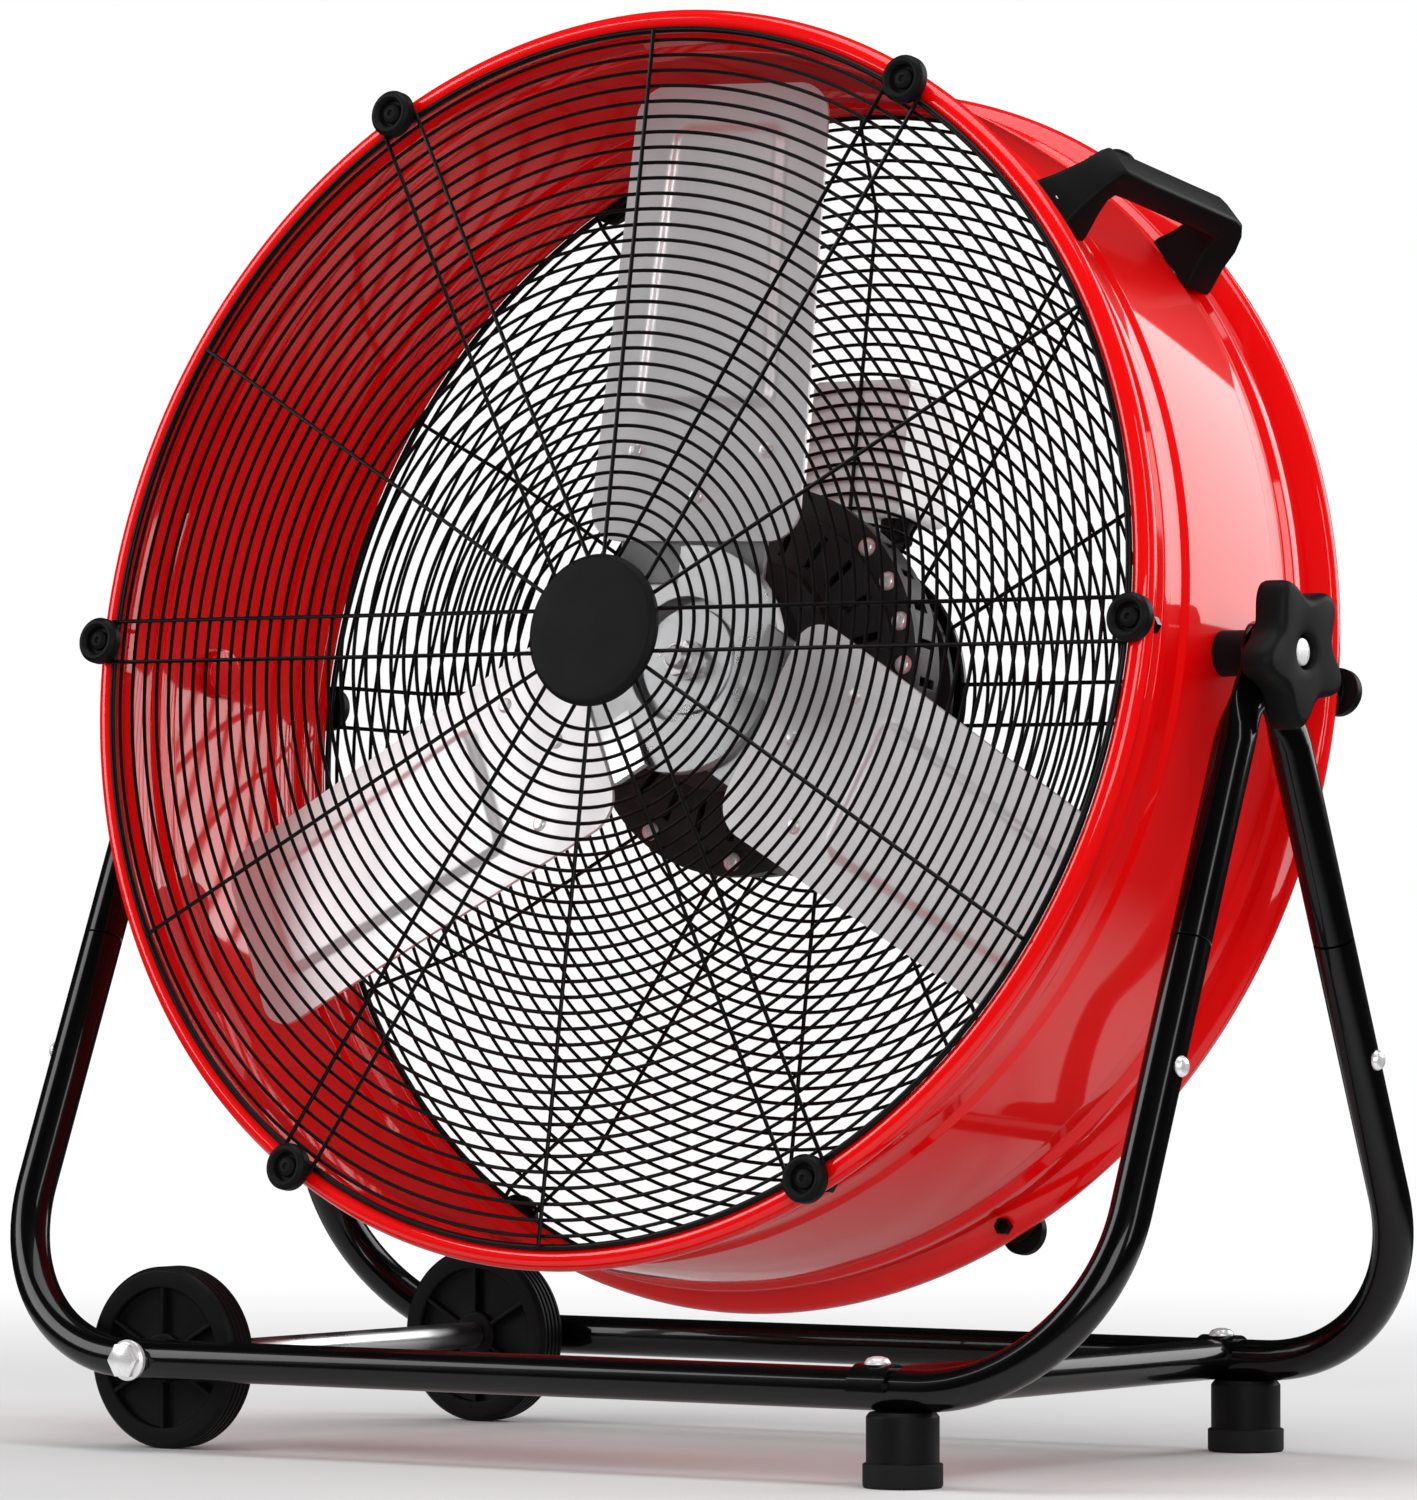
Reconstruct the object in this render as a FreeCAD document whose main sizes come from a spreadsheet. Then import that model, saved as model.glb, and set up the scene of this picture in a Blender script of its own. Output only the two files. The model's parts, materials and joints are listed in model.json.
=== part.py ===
import FreeCAD, Part
import math
import os
import re

import Sketcher

# Tilting drum fan on a wheeled tube stand. Millimetres, +Z up. The front of the fan faces -Y, and +X is the
# end with the feet. The origin is on the floor, below the middle of the overall box.
# Stand parts are drawn with Y = 0 below the tilt axis, then shifted by y_centre. Head parts are drawn with
# the origin on the tilt axis and the drum's axis along Y, then lifted to the tilt axis and leaned back.

SIZES = {
    # head and drum
    "pivot_height": 408.4, "rest_tilt": 9.2, "y_centre": 13.95, "rim_radius": 328.0, "bead_radius": 6.0,
    "drum_front": 89.5, "drum_back": 101.5, "skin_radius": 316.0, "skin_wall": 1.5, "rib_height": 3.5,
    "rib_width": 13.0, "rib_offset": 63.5, "panel_height": 2.5, "bolt_hole_radius": 7.05,
    # guards
    "ring_wire": 2.0, "hoop_wire": 3.4, "radial_wire": 2.2, "hoop_radius": 316.4, "ring_first": 50.7,
    "ring_pitch": 8.13, "ring_count": 33, "loop_half_width": 11.0, "rear_first_ring": 3,
    "rear_dish": 22.0, "rear_dish_rings": 5, "wire_inner": 30.0, "loop_end": 316.0, "cap_radius": 39.5,
    "cap_thick": 5.0,
    # clips on the rims
    "clip_circle": 322.5, "clip_radius": 12.3, "clip_thick": 7.0, "clip_seat_radius": 7.6,
    "clip_seat_depth": 4.5, "clip_screw_radius": 2.5, "clip_head_radius": 5.4, "clip_head_thick": 3.0,
    "clip_screw_length": 20.0,
    # blades and rotor
    "blade_plane": 15.0, "blade_pitch": 8.0, "blade_root": 62.0, "blade_tip": 306.0,
    "blade_half_chord": 58.5, "blade_thick": 2.0, "blade_corner": 18.0, "panel_root": 133.0,
    "panel_tip": 284.0, "panel_half_chord": 36.0, "panel_press": 3.0, "spider_thick": 3.0,
    "spider_radius": 60.0, "spider_hole": 33.0, "spider_reach": 124.0, "arm_half_width": 42.0,
    "hub_radius": 28.0, "hub_flange_radius": 44.0, "hub_face": 9.0, "hub_flange_thick": 4.0,
    "boss_radius": 16.0, "boss_back": 20.0, "shaft_radius": 6.0, "shaft_front": 23.0, "shaft_back": 115.0,
    "rivet_radius": 4.2,
    # motor
    "bell_radius": 62.0, "bell_nose_radius": 50.0, "bell_front": 24.0, "flange_front": 47.0,
    "flange_back": 52.0, "flange_radius": 104.0, "flange_screw_circle": 96.6, "flange_screw_head": 5.0,
    "can_radius": 100.0, "can_step": 76.0, "can_neck_radius": 72.0, "can_back": 119.5, "can_wall": 2.5,
    "stator_radius": 66.0, "stator_bore": 40.6, "stator_front": 46.0, "stator_back": 84.0,
    "rotor_core_radius": 40.0, "bearing_radius": 16.0, "bearing_width": 10.0, "disc_radius": 79.0,
    "disc_thick": 3.5,
    # speed-control box
    "box_half_width": 31.0, "box_low": 105.0, "box_high": 178.0, "box_front": 127.2, "box_depth": 43.0,
    "box_wall": 2.0, "dial_radius": 19.0, "dial_height": 16.0, "dial_stem_radius": 3.0,
    "gland_radius": 9.0,
    # handle
    "handle_angle": 42.0, "handle_top": 361.0, "handle_under": 346.0, "handle_half_width": 10.0,
    "handle_foot_half_width": 17.0, "handle_front": 76.0, "handle_top_front": 59.0,
    "handle_inner_front": 52.0, "handle_inner_back": 46.0, "handle_back": 70.0,
    # pivots and clamp knobs
    "leg_plane": 341.0, "plate_thick": 4.0, "pivot_bolt_radius": 7.0, "pivot_fit": 0.06,
    "spacer_radius": 11.5, "bolt_head_radius": 13.0, "bolt_head_thick": 5.0, "knob_radius": 39.0,
    "knob_lobe_radius": 13.0, "knob_core_radius": 27.0, "knob_thick": 22.0, "knob_gap": 0.4,
    "knob_recess_radius": 8.8, "knob_recess_depth": 6.0, "knob_angle": 55.0, "knob_boss_radius": 16.0,
    # stand
    "tube_radius": 10.5, "tube_wall": 1.5, "frame_half_depth": 161.4, "tube_height": 47.4,
    "bend_radius": 96.0, "aim_offset": 8.0, "joint_height": 265.0, "spigot_radius": 8.94,
    "spigot_length": 70.0, "leg_screw_height": 205.0, "leg_screw_radius": 3.0, "leg_screw_head": 5.2,
    "wheel_x": 238.9, "wheel_radius": 47.4, "wheel_half_width": 9.8, "wheel_plane": 137.0,
    "wheel_recess_radius": 36.4, "wheel_recess_depth": 4.5, "wheel_hub_radius": 13.0, "axle_radius": 5.0,
    "axle_fit": 0.06, "axle_head_radius": 10.7, "axle_head_thick": 6.4, "axle_tube_radius": 7.0,
    "washer_radius": 10.0, "washer_thick": 2.0, "foot_x": 233.6, "foot_radius": 18.0,
    "foot_boot_radius": 19.7, "foot_boot_height": 12.3, "crossbar_x": 219.0, "saddle_half_width": 11.0,
    "saddle_wall": 2.0, "saddle_screw_radius": 3.0, "saddle_screw_head": 6.5,
}

doc = FreeCAD.newDocument("air_mover")
sheet = doc.addObject("Spreadsheet::Sheet", "Sizes")
for row, (alias, value) in enumerate(SIZES.items(), start=1):
    sheet.set(f"A{row}", alias)
    sheet.set(f"B{row}", repr(value))
    sheet.setAlias(f"B{row}", alias)
doc.recompute()

nodes = []          # every sub-part that is written, in order


# ---------------------------------------------------------------- helpers

def size(alias):
    """A driving dimension, read back from the sheet."""
    return float(getattr(sheet, alias))


def full(text):
    """An expression on bare aliases, with the sheet's name put before each alias."""
    def prefixed(word):
        return "Sizes." + word.group() if word.group() in SIZES else word.group()

    return re.sub(r"[a-z][a-z_0-9]*", prefixed, str(text))


def number(text):
    """The value of an expression on the sheet's aliases."""
    return float(sheet.evalExpression(full(text)))


def bind(feature, **expressions):
    """Ties properties of a feature to expressions on the sheet."""
    for prop, text in expressions.items():
        feature.setExpression(prop, full(text))


def new_body(name):
    return doc.addObject("PartDesign::Body", name)


def origin_feature(body, role):
    return next(f for f in body.Origin.OriginFeatures if f.Role == role)


def new_sketch(body, role, name):
    sketch = body.newObject("Sketcher::SketchObject", name)
    sketch.AttachmentSupport = [(origin_feature(body, role), "")]
    sketch.MapMode = "FlatFace"
    return sketch


def pin_point(sketch, geometry, point, x, y):
    """Holds one sketch point at expressions x, y; a zero coordinate is held on the axis."""
    for kind, text, axis in (("DistanceX", x, -2), ("DistanceY", y, -1)):
        value = number(text)
        if abs(value) < 1e-9:
            sketch.addConstraint(Sketcher.Constraint("PointOnObject", geometry, point, axis))
        else:
            index = sketch.addConstraint(Sketcher.Constraint(kind, -1, 1, geometry, point, value))
            sketch.setExpression(f"Constraints[{index}]", full(text))


def polygon(sketch, points):
    """A closed outline through points given as pairs of expressions."""
    corners = [FreeCAD.Vector(number(x), number(y), 0) for x, y in points]
    sides = zip(corners, corners[1:] + corners[:1])
    lines = [sketch.addGeometry(Part.LineSegment(a, b), False) for a, b in sides]
    for line, following in zip(lines, lines[1:] + lines[:1]):
        sketch.addConstraint(Sketcher.Constraint("Coincident", line, 2, following, 1))
    for line, (x, y) in zip(lines, points):
        pin_point(sketch, line, 1, x, y)


def rectangle(sketch, x_low, x_high, y_low, y_high):
    polygon(sketch, [(x_low, y_low), (x_high, y_low), (x_high, y_high), (x_low, y_high)])


def circle(sketch, x, y, radius):
    centre = FreeCAD.Vector(number(x), number(y), 0)
    index = sketch.addGeometry(Part.Circle(centre, FreeCAD.Vector(0, 0, 1), number(radius)), False)
    pin_point(sketch, index, 3, x, y)
    held = sketch.addConstraint(Sketcher.Constraint("Radius", index, number(radius)))
    sketch.setExpression(f"Constraints[{held}]", full(radius))


def revolved(body, sketch, cut=False):
    """A turned solid or groove: the sketch, in XY, turns about its vertical axis."""
    kind = "PartDesign::Groove" if cut else "PartDesign::Revolution"
    turned = body.newObject(kind, "Turned")
    turned.Profile = sketch
    turned.ReferenceAxis = (sketch, ["V_Axis"])
    turned.Angle = 360.0
    return turned


def extruded(body, sketch, length, cut=False, midplane=False, reverse=False, taper=None):
    """A pad or pocket of the sketch along its normal."""
    feature = body.newObject("PartDesign::Pocket" if cut else "PartDesign::Pad", "Cut" if cut else "Pad")
    feature.Profile = sketch
    bind(feature, Length=length)
    feature.SideType = "Symmetric" if midplane else "One side"
    feature.Reversed = reverse
    if taper:
        feature.TaperAngle = taper
    return feature


def polar(body, feature, role, count):
    """Repeats a feature evenly about one of the body's axes."""
    pattern = body.newObject("PartDesign::PolarPattern", "Pattern")
    pattern.Originals = [feature]
    pattern.Axis = (origin_feature(body, role), [""])
    pattern.Angle = 360.0
    pattern.Occurrences = count
    body.Tip = pattern
    return pattern


def finished(feature, label, placement=None):
    """Names a sub-part, places it and puts it on the list that is written."""
    feature.Label = label
    if placement is not None:
        feature.Placement = placement
    nodes.append(feature)
    return feature


def placed(shape, x=0.0, y=0.0, z=0.0, rotation=None):
    copy = shape.copy()
    move = FreeCAD.Placement(FreeCAD.Vector(x, y, z), rotation or FreeCAD.Rotation())
    copy.Placement = move.multiply(copy.Placement)
    return copy


def feature_of(label, shapes, placement=None):
    """A sub-part made of one or more ready solids, for groups of like pieces and swept or lofted wire
    and tube."""
    feature = doc.addObject("Part::Feature", label)
    feature.Shape = shapes[0] if len(shapes) == 1 else Part.makeCompound(shapes)
    return finished(feature, label, placement)


def rod(radius, start, end):
    """A round bar between two points."""
    a = FreeCAD.Vector(*start)
    b = FreeCAD.Vector(*end)
    return Part.makeCylinder(radius, (b - a).Length, a, b - a)


def polar_point(radius, degrees, y=0.0):
    """A point of the head frame at a radius and an angle seen from the front, counted from +X towards
    +Z."""
    angle = math.radians(degrees)
    return FreeCAD.Vector(radius * math.cos(angle), y, radius * math.sin(angle))


STAND = FreeCAD.Placement(FreeCAD.Vector(0, -size("y_centre"), 0), FreeCAD.Rotation())
HEAD = FreeCAD.Placement(
    FreeCAD.Vector(0, -size("y_centre"), size("pivot_height")),
    FreeCAD.Rotation(FreeCAD.Vector(1, 0, 0), -size("rest_tilt")),
)


def about_drum(degrees):
    """Turns a part drawn at the top of the drum by an angle about the drum's axis, then puts it on the
    head."""
    turn = FreeCAD.Rotation(FreeCAD.Vector(0, 1, 0), -degrees)
    return HEAD.multiply(FreeCAD.Placement(FreeCAD.Vector(), turn))


# ---------------------------------------------------------------- drum

HANDLE_SCREWS = (-70.5, 57.0)       # depths along the drum


def handle_holes():
    """Bars where the handle's screws pass through the drum."""
    bars = [Part.makeCylinder(2.55, 30, FreeCAD.Vector(0, y, 300)) for y in HANDLE_SCREWS]
    return [spun(bar, size("handle_angle") - 90) for bar in bars]


def drum_shell():
    """Sheet-steel barrel: a turned skin with two pressed ribs and a wide centre panel between rolled
    rims."""
    body = new_body("DrumShell")
    middle = "((drum_back - drum_front) / 2)"
    front_end = "(bead_radius - drum_front)"
    back_end = "(drum_back - bead_radius)"
    steps = [
        ("rim_radius - bead_radius + 0.7", f"{front_end} - 1"),
        ("skin_radius", f"{front_end} + 1.5 * bead_radius"),
        ("skin_radius", f"{middle} - rib_offset - rib_width / 2"),
        ("skin_radius + rib_height", f"{middle} - rib_offset - 3"),
        ("skin_radius + rib_height", f"{middle} - rib_offset + 3"),
        ("skin_radius", f"{middle} - rib_offset + rib_width / 2"),
        ("skin_radius", f"{middle} - 45"),
        ("skin_radius + panel_height", f"{middle} - 41"),
        ("skin_radius + panel_height", f"{middle} + 41"),
        ("skin_radius", f"{middle} + 45"),
        ("skin_radius", f"{middle} + rib_offset - rib_width / 2"),
        ("skin_radius + rib_height", f"{middle} + rib_offset - 3"),
        ("skin_radius + rib_height", f"{middle} + rib_offset + 3"),
        ("skin_radius", f"{middle} + rib_offset + rib_width / 2"),
        ("skin_radius", f"{back_end} - 1.5 * bead_radius"),
        ("rim_radius - bead_radius + 0.7", f"{back_end} + 1"),
    ]
    inside = [(f"{radius} - skin_wall", y) for radius, y in reversed(steps)]
    skin = new_sketch(body, "XY_Plane", "SkinProfile")
    polygon(skin, steps + inside)
    revolved(body, skin)
    for name, end in (("FrontBead", front_end), ("BackBead", back_end)):
        bead = new_sketch(body, "XY_Plane", name)
        circle(bead, "rim_radius - bead_radius", end, "bead_radius")
        revolved(body, bead)
    pivot_holes = new_sketch(body, "YZ_Plane", "PivotHoles")
    circle(pivot_holes, "0", "0", "bolt_hole_radius")
    extruded(body, pivot_holes, "2 * rim_radius + 2", cut=True, midplane=True)
    clip_hole = new_sketch(body, "XZ_Plane", "ClipHole")
    circle(clip_hole, "clip_circle", "0", "clip_screw_radius + 0.05")
    hole = extruded(body, clip_hole, "2 * drum_back + 2", cut=True, midplane=True)
    rims = polar(body, hole, "Y_Axis", 6)
    shell = doc.addObject("Part::Feature", "HandleHoles")
    shell.Shape = Part.makeCompound(handle_holes())
    shell.Placement = HEAD
    body.Placement = HEAD
    drilled = doc.addObject("Part::Cut", "DrilledShell")
    drilled.Base = body
    drilled.Tool = shell
    doc.recompute()
    assert drilled.Shape.Volume < rims.Shape.Volume
    finished(drilled, "drum_shell")


# ---------------------------------------------------------------- guards

def ring_radii(first):
    return [size("ring_first") + size("ring_pitch") * k for k in range(first, int(size("ring_count")))]


def torus(radius, wire, y):
    """A ring of wire, drawn with an eight-sided section whose flats face along the drum."""
    corner = wire / 2 / math.cos(math.radians(22.5))
    points = []
    for k in range(8):
        angle = math.radians(45 * k + 22.5)
        points.append(FreeCAD.Vector(radius + corner * math.cos(angle), y + corner * math.sin(angle), 0))
    section = Part.Face(Part.makePolygon(points + points[:1]))
    return section.revolve(FreeCAD.Vector(), FreeCAD.Vector(0, 1, 0), 360)


def rear_depth(radius):
    """How far the rear guard bulges back at a radius: a cone over the outer rings, then flat."""
    outer = size("ring_first") + size("ring_pitch") * (size("ring_count") - 1)
    share = (outer - radius) / (size("rear_dish_rings") * size("ring_pitch"))
    return size("rear_dish") * min(max(share, 0.0), 1.0)


def bent_wire(points, wire):
    """A wire through points, with a ball at each inner bend."""
    runs = [rod(wire / 2, a, b) for a, b in zip(points, points[1:])]
    balls = [Part.makeSphere(wire / 2, FreeCAD.Vector(*p)) for p in points[1:-1]]
    solid = runs[0]
    for piece in runs[1:] + balls:
        solid = solid.fuse(piece)
    return solid


def loop_wire(stations, half, wire):
    """A hairpin of wire drawn along +X: two legs through (x, y) stations, closed by a half ring at the
    far end."""
    x_end, y_end = stations[-1]
    legs = [bent_wire([(x, y, side * half) for x, y in stations], wire) for side in (-1, 1)]
    ring = Part.makeTorus(half, wire / 2, FreeCAD.Vector(x_end, y_end, 0), FreeCAD.Vector(0, 1, 0))
    beyond = Part.makeBox(2 * half, 4 * wire, 4 * half, FreeCAD.Vector(x_end, y_end - 2 * wire, -2 * half))
    return legs[0].fuse(ring.common(beyond)).fuse(legs[1])


def spun(shape, degrees):
    """A copy turned about the drum's axis, counted from +X towards +Z."""
    copy = shape.copy()
    copy.rotate(FreeCAD.Vector(0, 0, 0), FreeCAD.Vector(0, 1, 0), -degrees)
    return copy


def front_guard():
    ring, hoop, wire = size("ring_wire"), size("hoop_wire"), size("radial_wire")
    face = -size("drum_front") - 0.5
    wires_at = face - (ring + wire) / 2
    rings = [torus(radius, ring, face) for radius in ring_radii(0)]
    rings.append(torus(size("hoop_radius"), hoop, wires_at + (wire + hoop) / 2))
    feature_of("front_guard_rings", rings, HEAD)
    single = bent_wire([(size("wire_inner"), wires_at, 0), (size("hoop_radius"), wires_at, 0)], wire)
    loop = loop_wire(
        [(size("wire_inner"), wires_at), (size("loop_end"), wires_at)], size("loop_half_width"), wire
    )
    wires = [spun(single, 30 + 60 * k) for k in range(6)] + [spun(loop, 60 * k) for k in range(6)]
    feature_of("front_guard_wires", wires, HEAD)


def rear_guard():
    ring, hoop, wire = size("ring_wire"), size("hoop_wire"), size("radial_wire")
    face = size("drum_back") + 0.5
    lift = (ring + wire) / 2
    radii = ring_radii(int(size("rear_first_ring")))
    rings = [torus(radius, ring, face + rear_depth(radius)) for radius in radii]
    rings.append(torus(size("hoop_radius"), hoop, face + lift - (wire + hoop) / 2))
    feature_of("rear_guard_rings", rings, HEAD)
    outer = size("ring_first") + size("ring_pitch") * (size("ring_count") - 1)
    bend = outer - size("rear_dish_rings") * size("ring_pitch")
    inner = size("ring_first") + size("ring_pitch") * size("rear_first_ring") - ring
    stations = [(inner, face + size("rear_dish") + lift), (bend, face + size("rear_dish") + lift),
                (outer, face + lift), (size("loop_end"), face + lift)]
    single = bent_wire([(x, y, 0) for x, y in stations], wire)
    loop = loop_wire(stations, size("loop_half_width"), wire)
    wires = [spun(single, 30 + 60 * k) for k in range(6)] + [spun(loop, 60 * k) for k in range(6)]
    feature_of("rear_guard_wires", wires, HEAD)


def front_cap():
    """Round plastic cap over the inner ends of the front guard's wires."""
    body = new_body("FrontCap")
    profile = new_sketch(body, "XY_Plane", "CapProfile")
    back = "(0 - drum_front - 0.5 - ring_wire / 2 - radial_wire)"
    polygon(profile, [
        ("0", back), ("cap_radius", back), ("cap_radius", f"{back} - cap_thick / 2"),
        ("cap_radius - 2", f"{back} - cap_thick + 0.6"), ("cap_radius - 3.2", f"{back} - cap_thick"),
        ("0", f"{back} - cap_thick"),
    ])
    revolved(body, profile)
    finished(body, "front_cap", HEAD)


# ---------------------------------------------------------------- clips that hold the guards to the rims

def clip_faces():
    """The planes of the two guards' wire faces, and the sign that points out of the drum."""
    rise = 0.5 + size("ring_wire") / 2 + size("radial_wire")
    return ((-size("drum_front") - rise, -1), (size("drum_back") + rise, 1))


def dished_washer(thick):
    """A thick moulded washer with a deep round seat for the screw head, drawn up +Y from the wires."""
    seat = size("clip_seat_depth")
    y = FreeCAD.Vector(0, 1, 0)
    blank = Part.makeCylinder(size("clip_radius"), thick, FreeCAD.Vector(), y)
    blank = blank.makeFillet(2.0, [e for e in blank.Edges if e.BoundBox.YMin > thick - 0.1 and e.Closed])
    blank = blank.cut(
        Part.makeCylinder(size("clip_seat_radius"), seat, FreeCAD.Vector(0, thick - seat, 0), y)
    )
    return blank.cut(Part.makeCylinder(size("clip_screw_radius") + 0.05, thick, FreeCAD.Vector(), y))


def pan_screw(radius, head_radius, head_thick, length):
    """A pan-head screw with its head's underside at the origin: the head up +Y, the shank down -Y."""
    y = FreeCAD.Vector(0, 1, 0)
    head = Part.makeCylinder(head_radius, head_thick, FreeCAD.Vector(), y)
    head = head.makeFillet(
        0.6 * head_thick, [e for e in head.Edges if e.BoundBox.YMin > head_thick - 0.1 and e.Closed]
    )
    slot = Part.makeBox(
        1.6 * head_radius, head_thick, 1.0, FreeCAD.Vector(-0.8 * head_radius, 0.55 * head_thick, -0.5)
    )
    cross = slot.copy()
    cross.rotate(FreeCAD.Vector(), y, 90)
    shank = Part.makeCylinder(radius, length, FreeCAD.Vector(), FreeCAD.Vector(0, -1, 0))
    return head.cut(slot).cut(cross).fuse(shank)


def around_rim(shape, y, sign):
    """Six copies on the clip circle, facing out of the drum on the given side."""
    facing = FreeCAD.Rotation(FreeCAD.Vector(1, 0, 0), 0 if sign > 0 else 180)
    first = placed(shape, size("clip_circle"), y, 0, facing)
    return [spun(first, 60 * k) for k in range(6)]


def clips():
    thick = size("clip_thick")
    washer = dished_washer(thick)
    screw = pan_screw(size("clip_screw_radius"), size("clip_head_radius"), size("clip_head_thick"),
                      size("clip_screw_length"))
    nut = Part.Face(Part.makePolygon([polar_point(4.6,
            60 * k) for k in range(7)])).extrude(FreeCAD.Vector(0, 4, 0))
    nut = nut.cut(
        Part.makeCylinder(size("clip_screw_radius") + 0.05, 4, FreeCAD.Vector(), FreeCAD.Vector(0, 1, 0))
    )
    washers, screws, nuts = [], [], []
    for y, sign in clip_faces():
        washers += around_rim(washer, y, sign)
        screws += around_rim(screw, y + sign * (thick - size("clip_seat_depth")), sign)
        rim = size("drum_front") if sign < 0 else size("drum_back")
        nuts += around_rim(nut, sign * (rim - 2 * size("bead_radius") - 4.1), sign)
    feature_of("clip_washers", washers, HEAD)
    feature_of("clip_screws", screws, HEAD)
    feature_of("clip_nuts", nuts, HEAD)


# ---------------------------------------------------------------- blades and rotor

def blade_placement(degrees):
    """A blade is drawn flat, pointing up +Z, and pitched about its own length before it is turned into
    place."""
    pitch = FreeCAD.Placement(
        FreeCAD.Vector(0, -size("blade_plane"), 0), FreeCAD.Rotation(
            FreeCAD.Vector(0, 0, 1), size("blade_pitch")
        )
    )
    return about_drum(degrees - 90).multiply(pitch)


def upright_edges(shape, axis, length):
    """Names of the straight edges along an axis with the given length."""
    names = []
    for index, edge in enumerate(shape.Edges, start=1):
        run = edge.Vertexes[-1].Point - edge.Vertexes[0].Point
        if abs(abs(run.dot(axis)) - length) < 1e-3 and abs(edge.Length - length) < 1e-3:
            names.append(f"Edge{index}")
    return names


def panel_outline(sketch, inset):
    """The pressed panel's tapering outline, drawn in by an inset."""
    polygon(sketch, [
        (f"{inset} - panel_half_chord - 4", f"panel_root + {inset}"),
        (f"panel_half_chord + 4 - {inset}", f"panel_root + {inset}"),
        (f"panel_half_chord - 4 - {inset}", f"panel_tip - {inset}"),
        (f"{inset} + 4 - panel_half_chord", f"panel_tip - {inset}"),
    ])


def blade(place, degrees):
    """Pressed aluminium blade: a flat sheet with rounded corners and a raised rectangular panel."""
    body = new_body(f"Blade{place}")
    outline = new_sketch(body, "XZ_Plane", "Outline")
    polygon(outline, [
        ("0 - blade_half_chord - 2.6", "blade_root"), ("blade_half_chord + 2.6", "blade_root"),
        ("blade_half_chord - 2.8", "blade_tip"), ("2.8 - blade_half_chord", "blade_tip"),
    ])
    sheet_pad = extruded(body, outline, "blade_thick", midplane=True)
    doc.recompute()
    corners = body.newObject("PartDesign::Fillet", "Corners")
    corners.Base = (sheet_pad, upright_edges(sheet_pad.Shape, FreeCAD.Vector(0, 1, 0), size("blade_thick")))
    bind(corners, Radius="blade_corner")
    panel = new_sketch(body, "XZ_Plane", "Panel")
    panel_outline(panel, "0")
    extruded(body, panel, "blade_thick / 2 + panel_press", taper=-35)
    hollow = new_sketch(body, "XZ_Plane", "Hollow")
    panel_outline(hollow, "2")
    hollow.AttachmentOffset.Base = FreeCAD.Vector(0, 0, 0)
    hollow.setExpression("AttachmentOffset.Base.z", full("0 - blade_thick / 2"))
    extruded(body, hollow, "panel_press", cut=True, reverse=True, taper=-35)
    seats = new_sketch(body, "XZ_Plane", "RivetHoles")
    for along, across in RIVET_SEATS:
        circle(seats, str(across), str(along), "1.55")
    extruded(body, seats, "3 * blade_thick", cut=True, midplane=True)
    finished(body, f"blade_{place}", blade_placement(degrees))


RIVET_SEATS = ((86.0, 0.0), (110.0, 38.0), (110.0, -38.0))      # along the blade, across it
BLADE_ANGLES = (90.0, 210.0, 330.0)


def arm():
    """One spider arm behind a blade at the top: a rounded plate pitched with the blade."""
    half, reach, thick = size("arm_half_width"), size("spider_reach"), size("spider_thick")
    plate = Part.makeBox(2 * half, thick, reach - 40, FreeCAD.Vector(-half, size("blade_thick") / 2, 40))
    ends = [e for e in plate.Edges if e.BoundBox.ZMin > reach - 0.1 and abs(e.Length - thick) < 1e-3]
    plate = plate.makeFillet(26.0, ends)
    plate.rotate(FreeCAD.Vector(), FreeCAD.Vector(0, 0, 1), size("blade_pitch"))
    return placed(plate, 0, -size("blade_plane"), 0)


def blade_spider():
    """Three-armed steel plate: a dished round centre with a large hole, and an arm behind each blade."""
    y = FreeCAD.Vector(0, 1, 0)
    back = -size("hub_face") + 1.0
    plate = Part.makeCylinder(size("spider_radius"), 7.0, FreeCAD.Vector(0, back - 7.0, 0), y)
    for degrees in BLADE_ANGLES:
        plate = plate.fuse(spun(arm(), degrees - 90))
    behind = Part.makeCylinder(size("spider_radius") - 4, 30, FreeCAD.Vector(0, back, 0), y)
    plate = plate.cut(behind)
    plate = plate.cut(Part.makeCylinder(size("spider_hole"), 40, FreeCAD.Vector(0, back - 20, 0), y))
    for degrees in BLADE_ANGLES:
        for along, across in RIVET_SEATS:
            plate = plate.cut(rivet_bar(along, across, degrees, 1.55, -20, 20))
    feature_of("blade_spider", [plate], HEAD)


def rivet_bar(along, across, degrees, radius, low, high):
    """A bar through a rivet seat, square to the blade, from low to high about the blade's middle plane."""
    bar = Part.makeCylinder(radius, high - low, FreeCAD.Vector(across, low, along), FreeCAD.Vector(0, 1, 0))
    bar.rotate(FreeCAD.Vector(), FreeCAD.Vector(0, 0, 1), size("blade_pitch"))
    return spun(placed(bar, 0, -size("blade_plane"), 0), degrees - 90)


def rivets():
    """Domed rivets through each blade and its spider arm, with a small tail behind."""
    pieces = []
    for degrees in BLADE_ANGLES:
        for along, across in RIVET_SEATS:
            face = size("blade_thick") / 2
            shank = rivet_bar(along, across, degrees, 1.5, -face, face + size("spider_thick"))
            dome = rivet_bar(along, across, degrees, size("rivet_radius"), -face - 1.8, -face)
            tail = rivet_bar(
                along, across, degrees, 2.8, face + size("spider_thick"), face + size("spider_thick") + 1.4
            )
            pieces.append(dome.fuse(shank).fuse(tail))
    feature_of("blade_rivets", pieces, HEAD)


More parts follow.
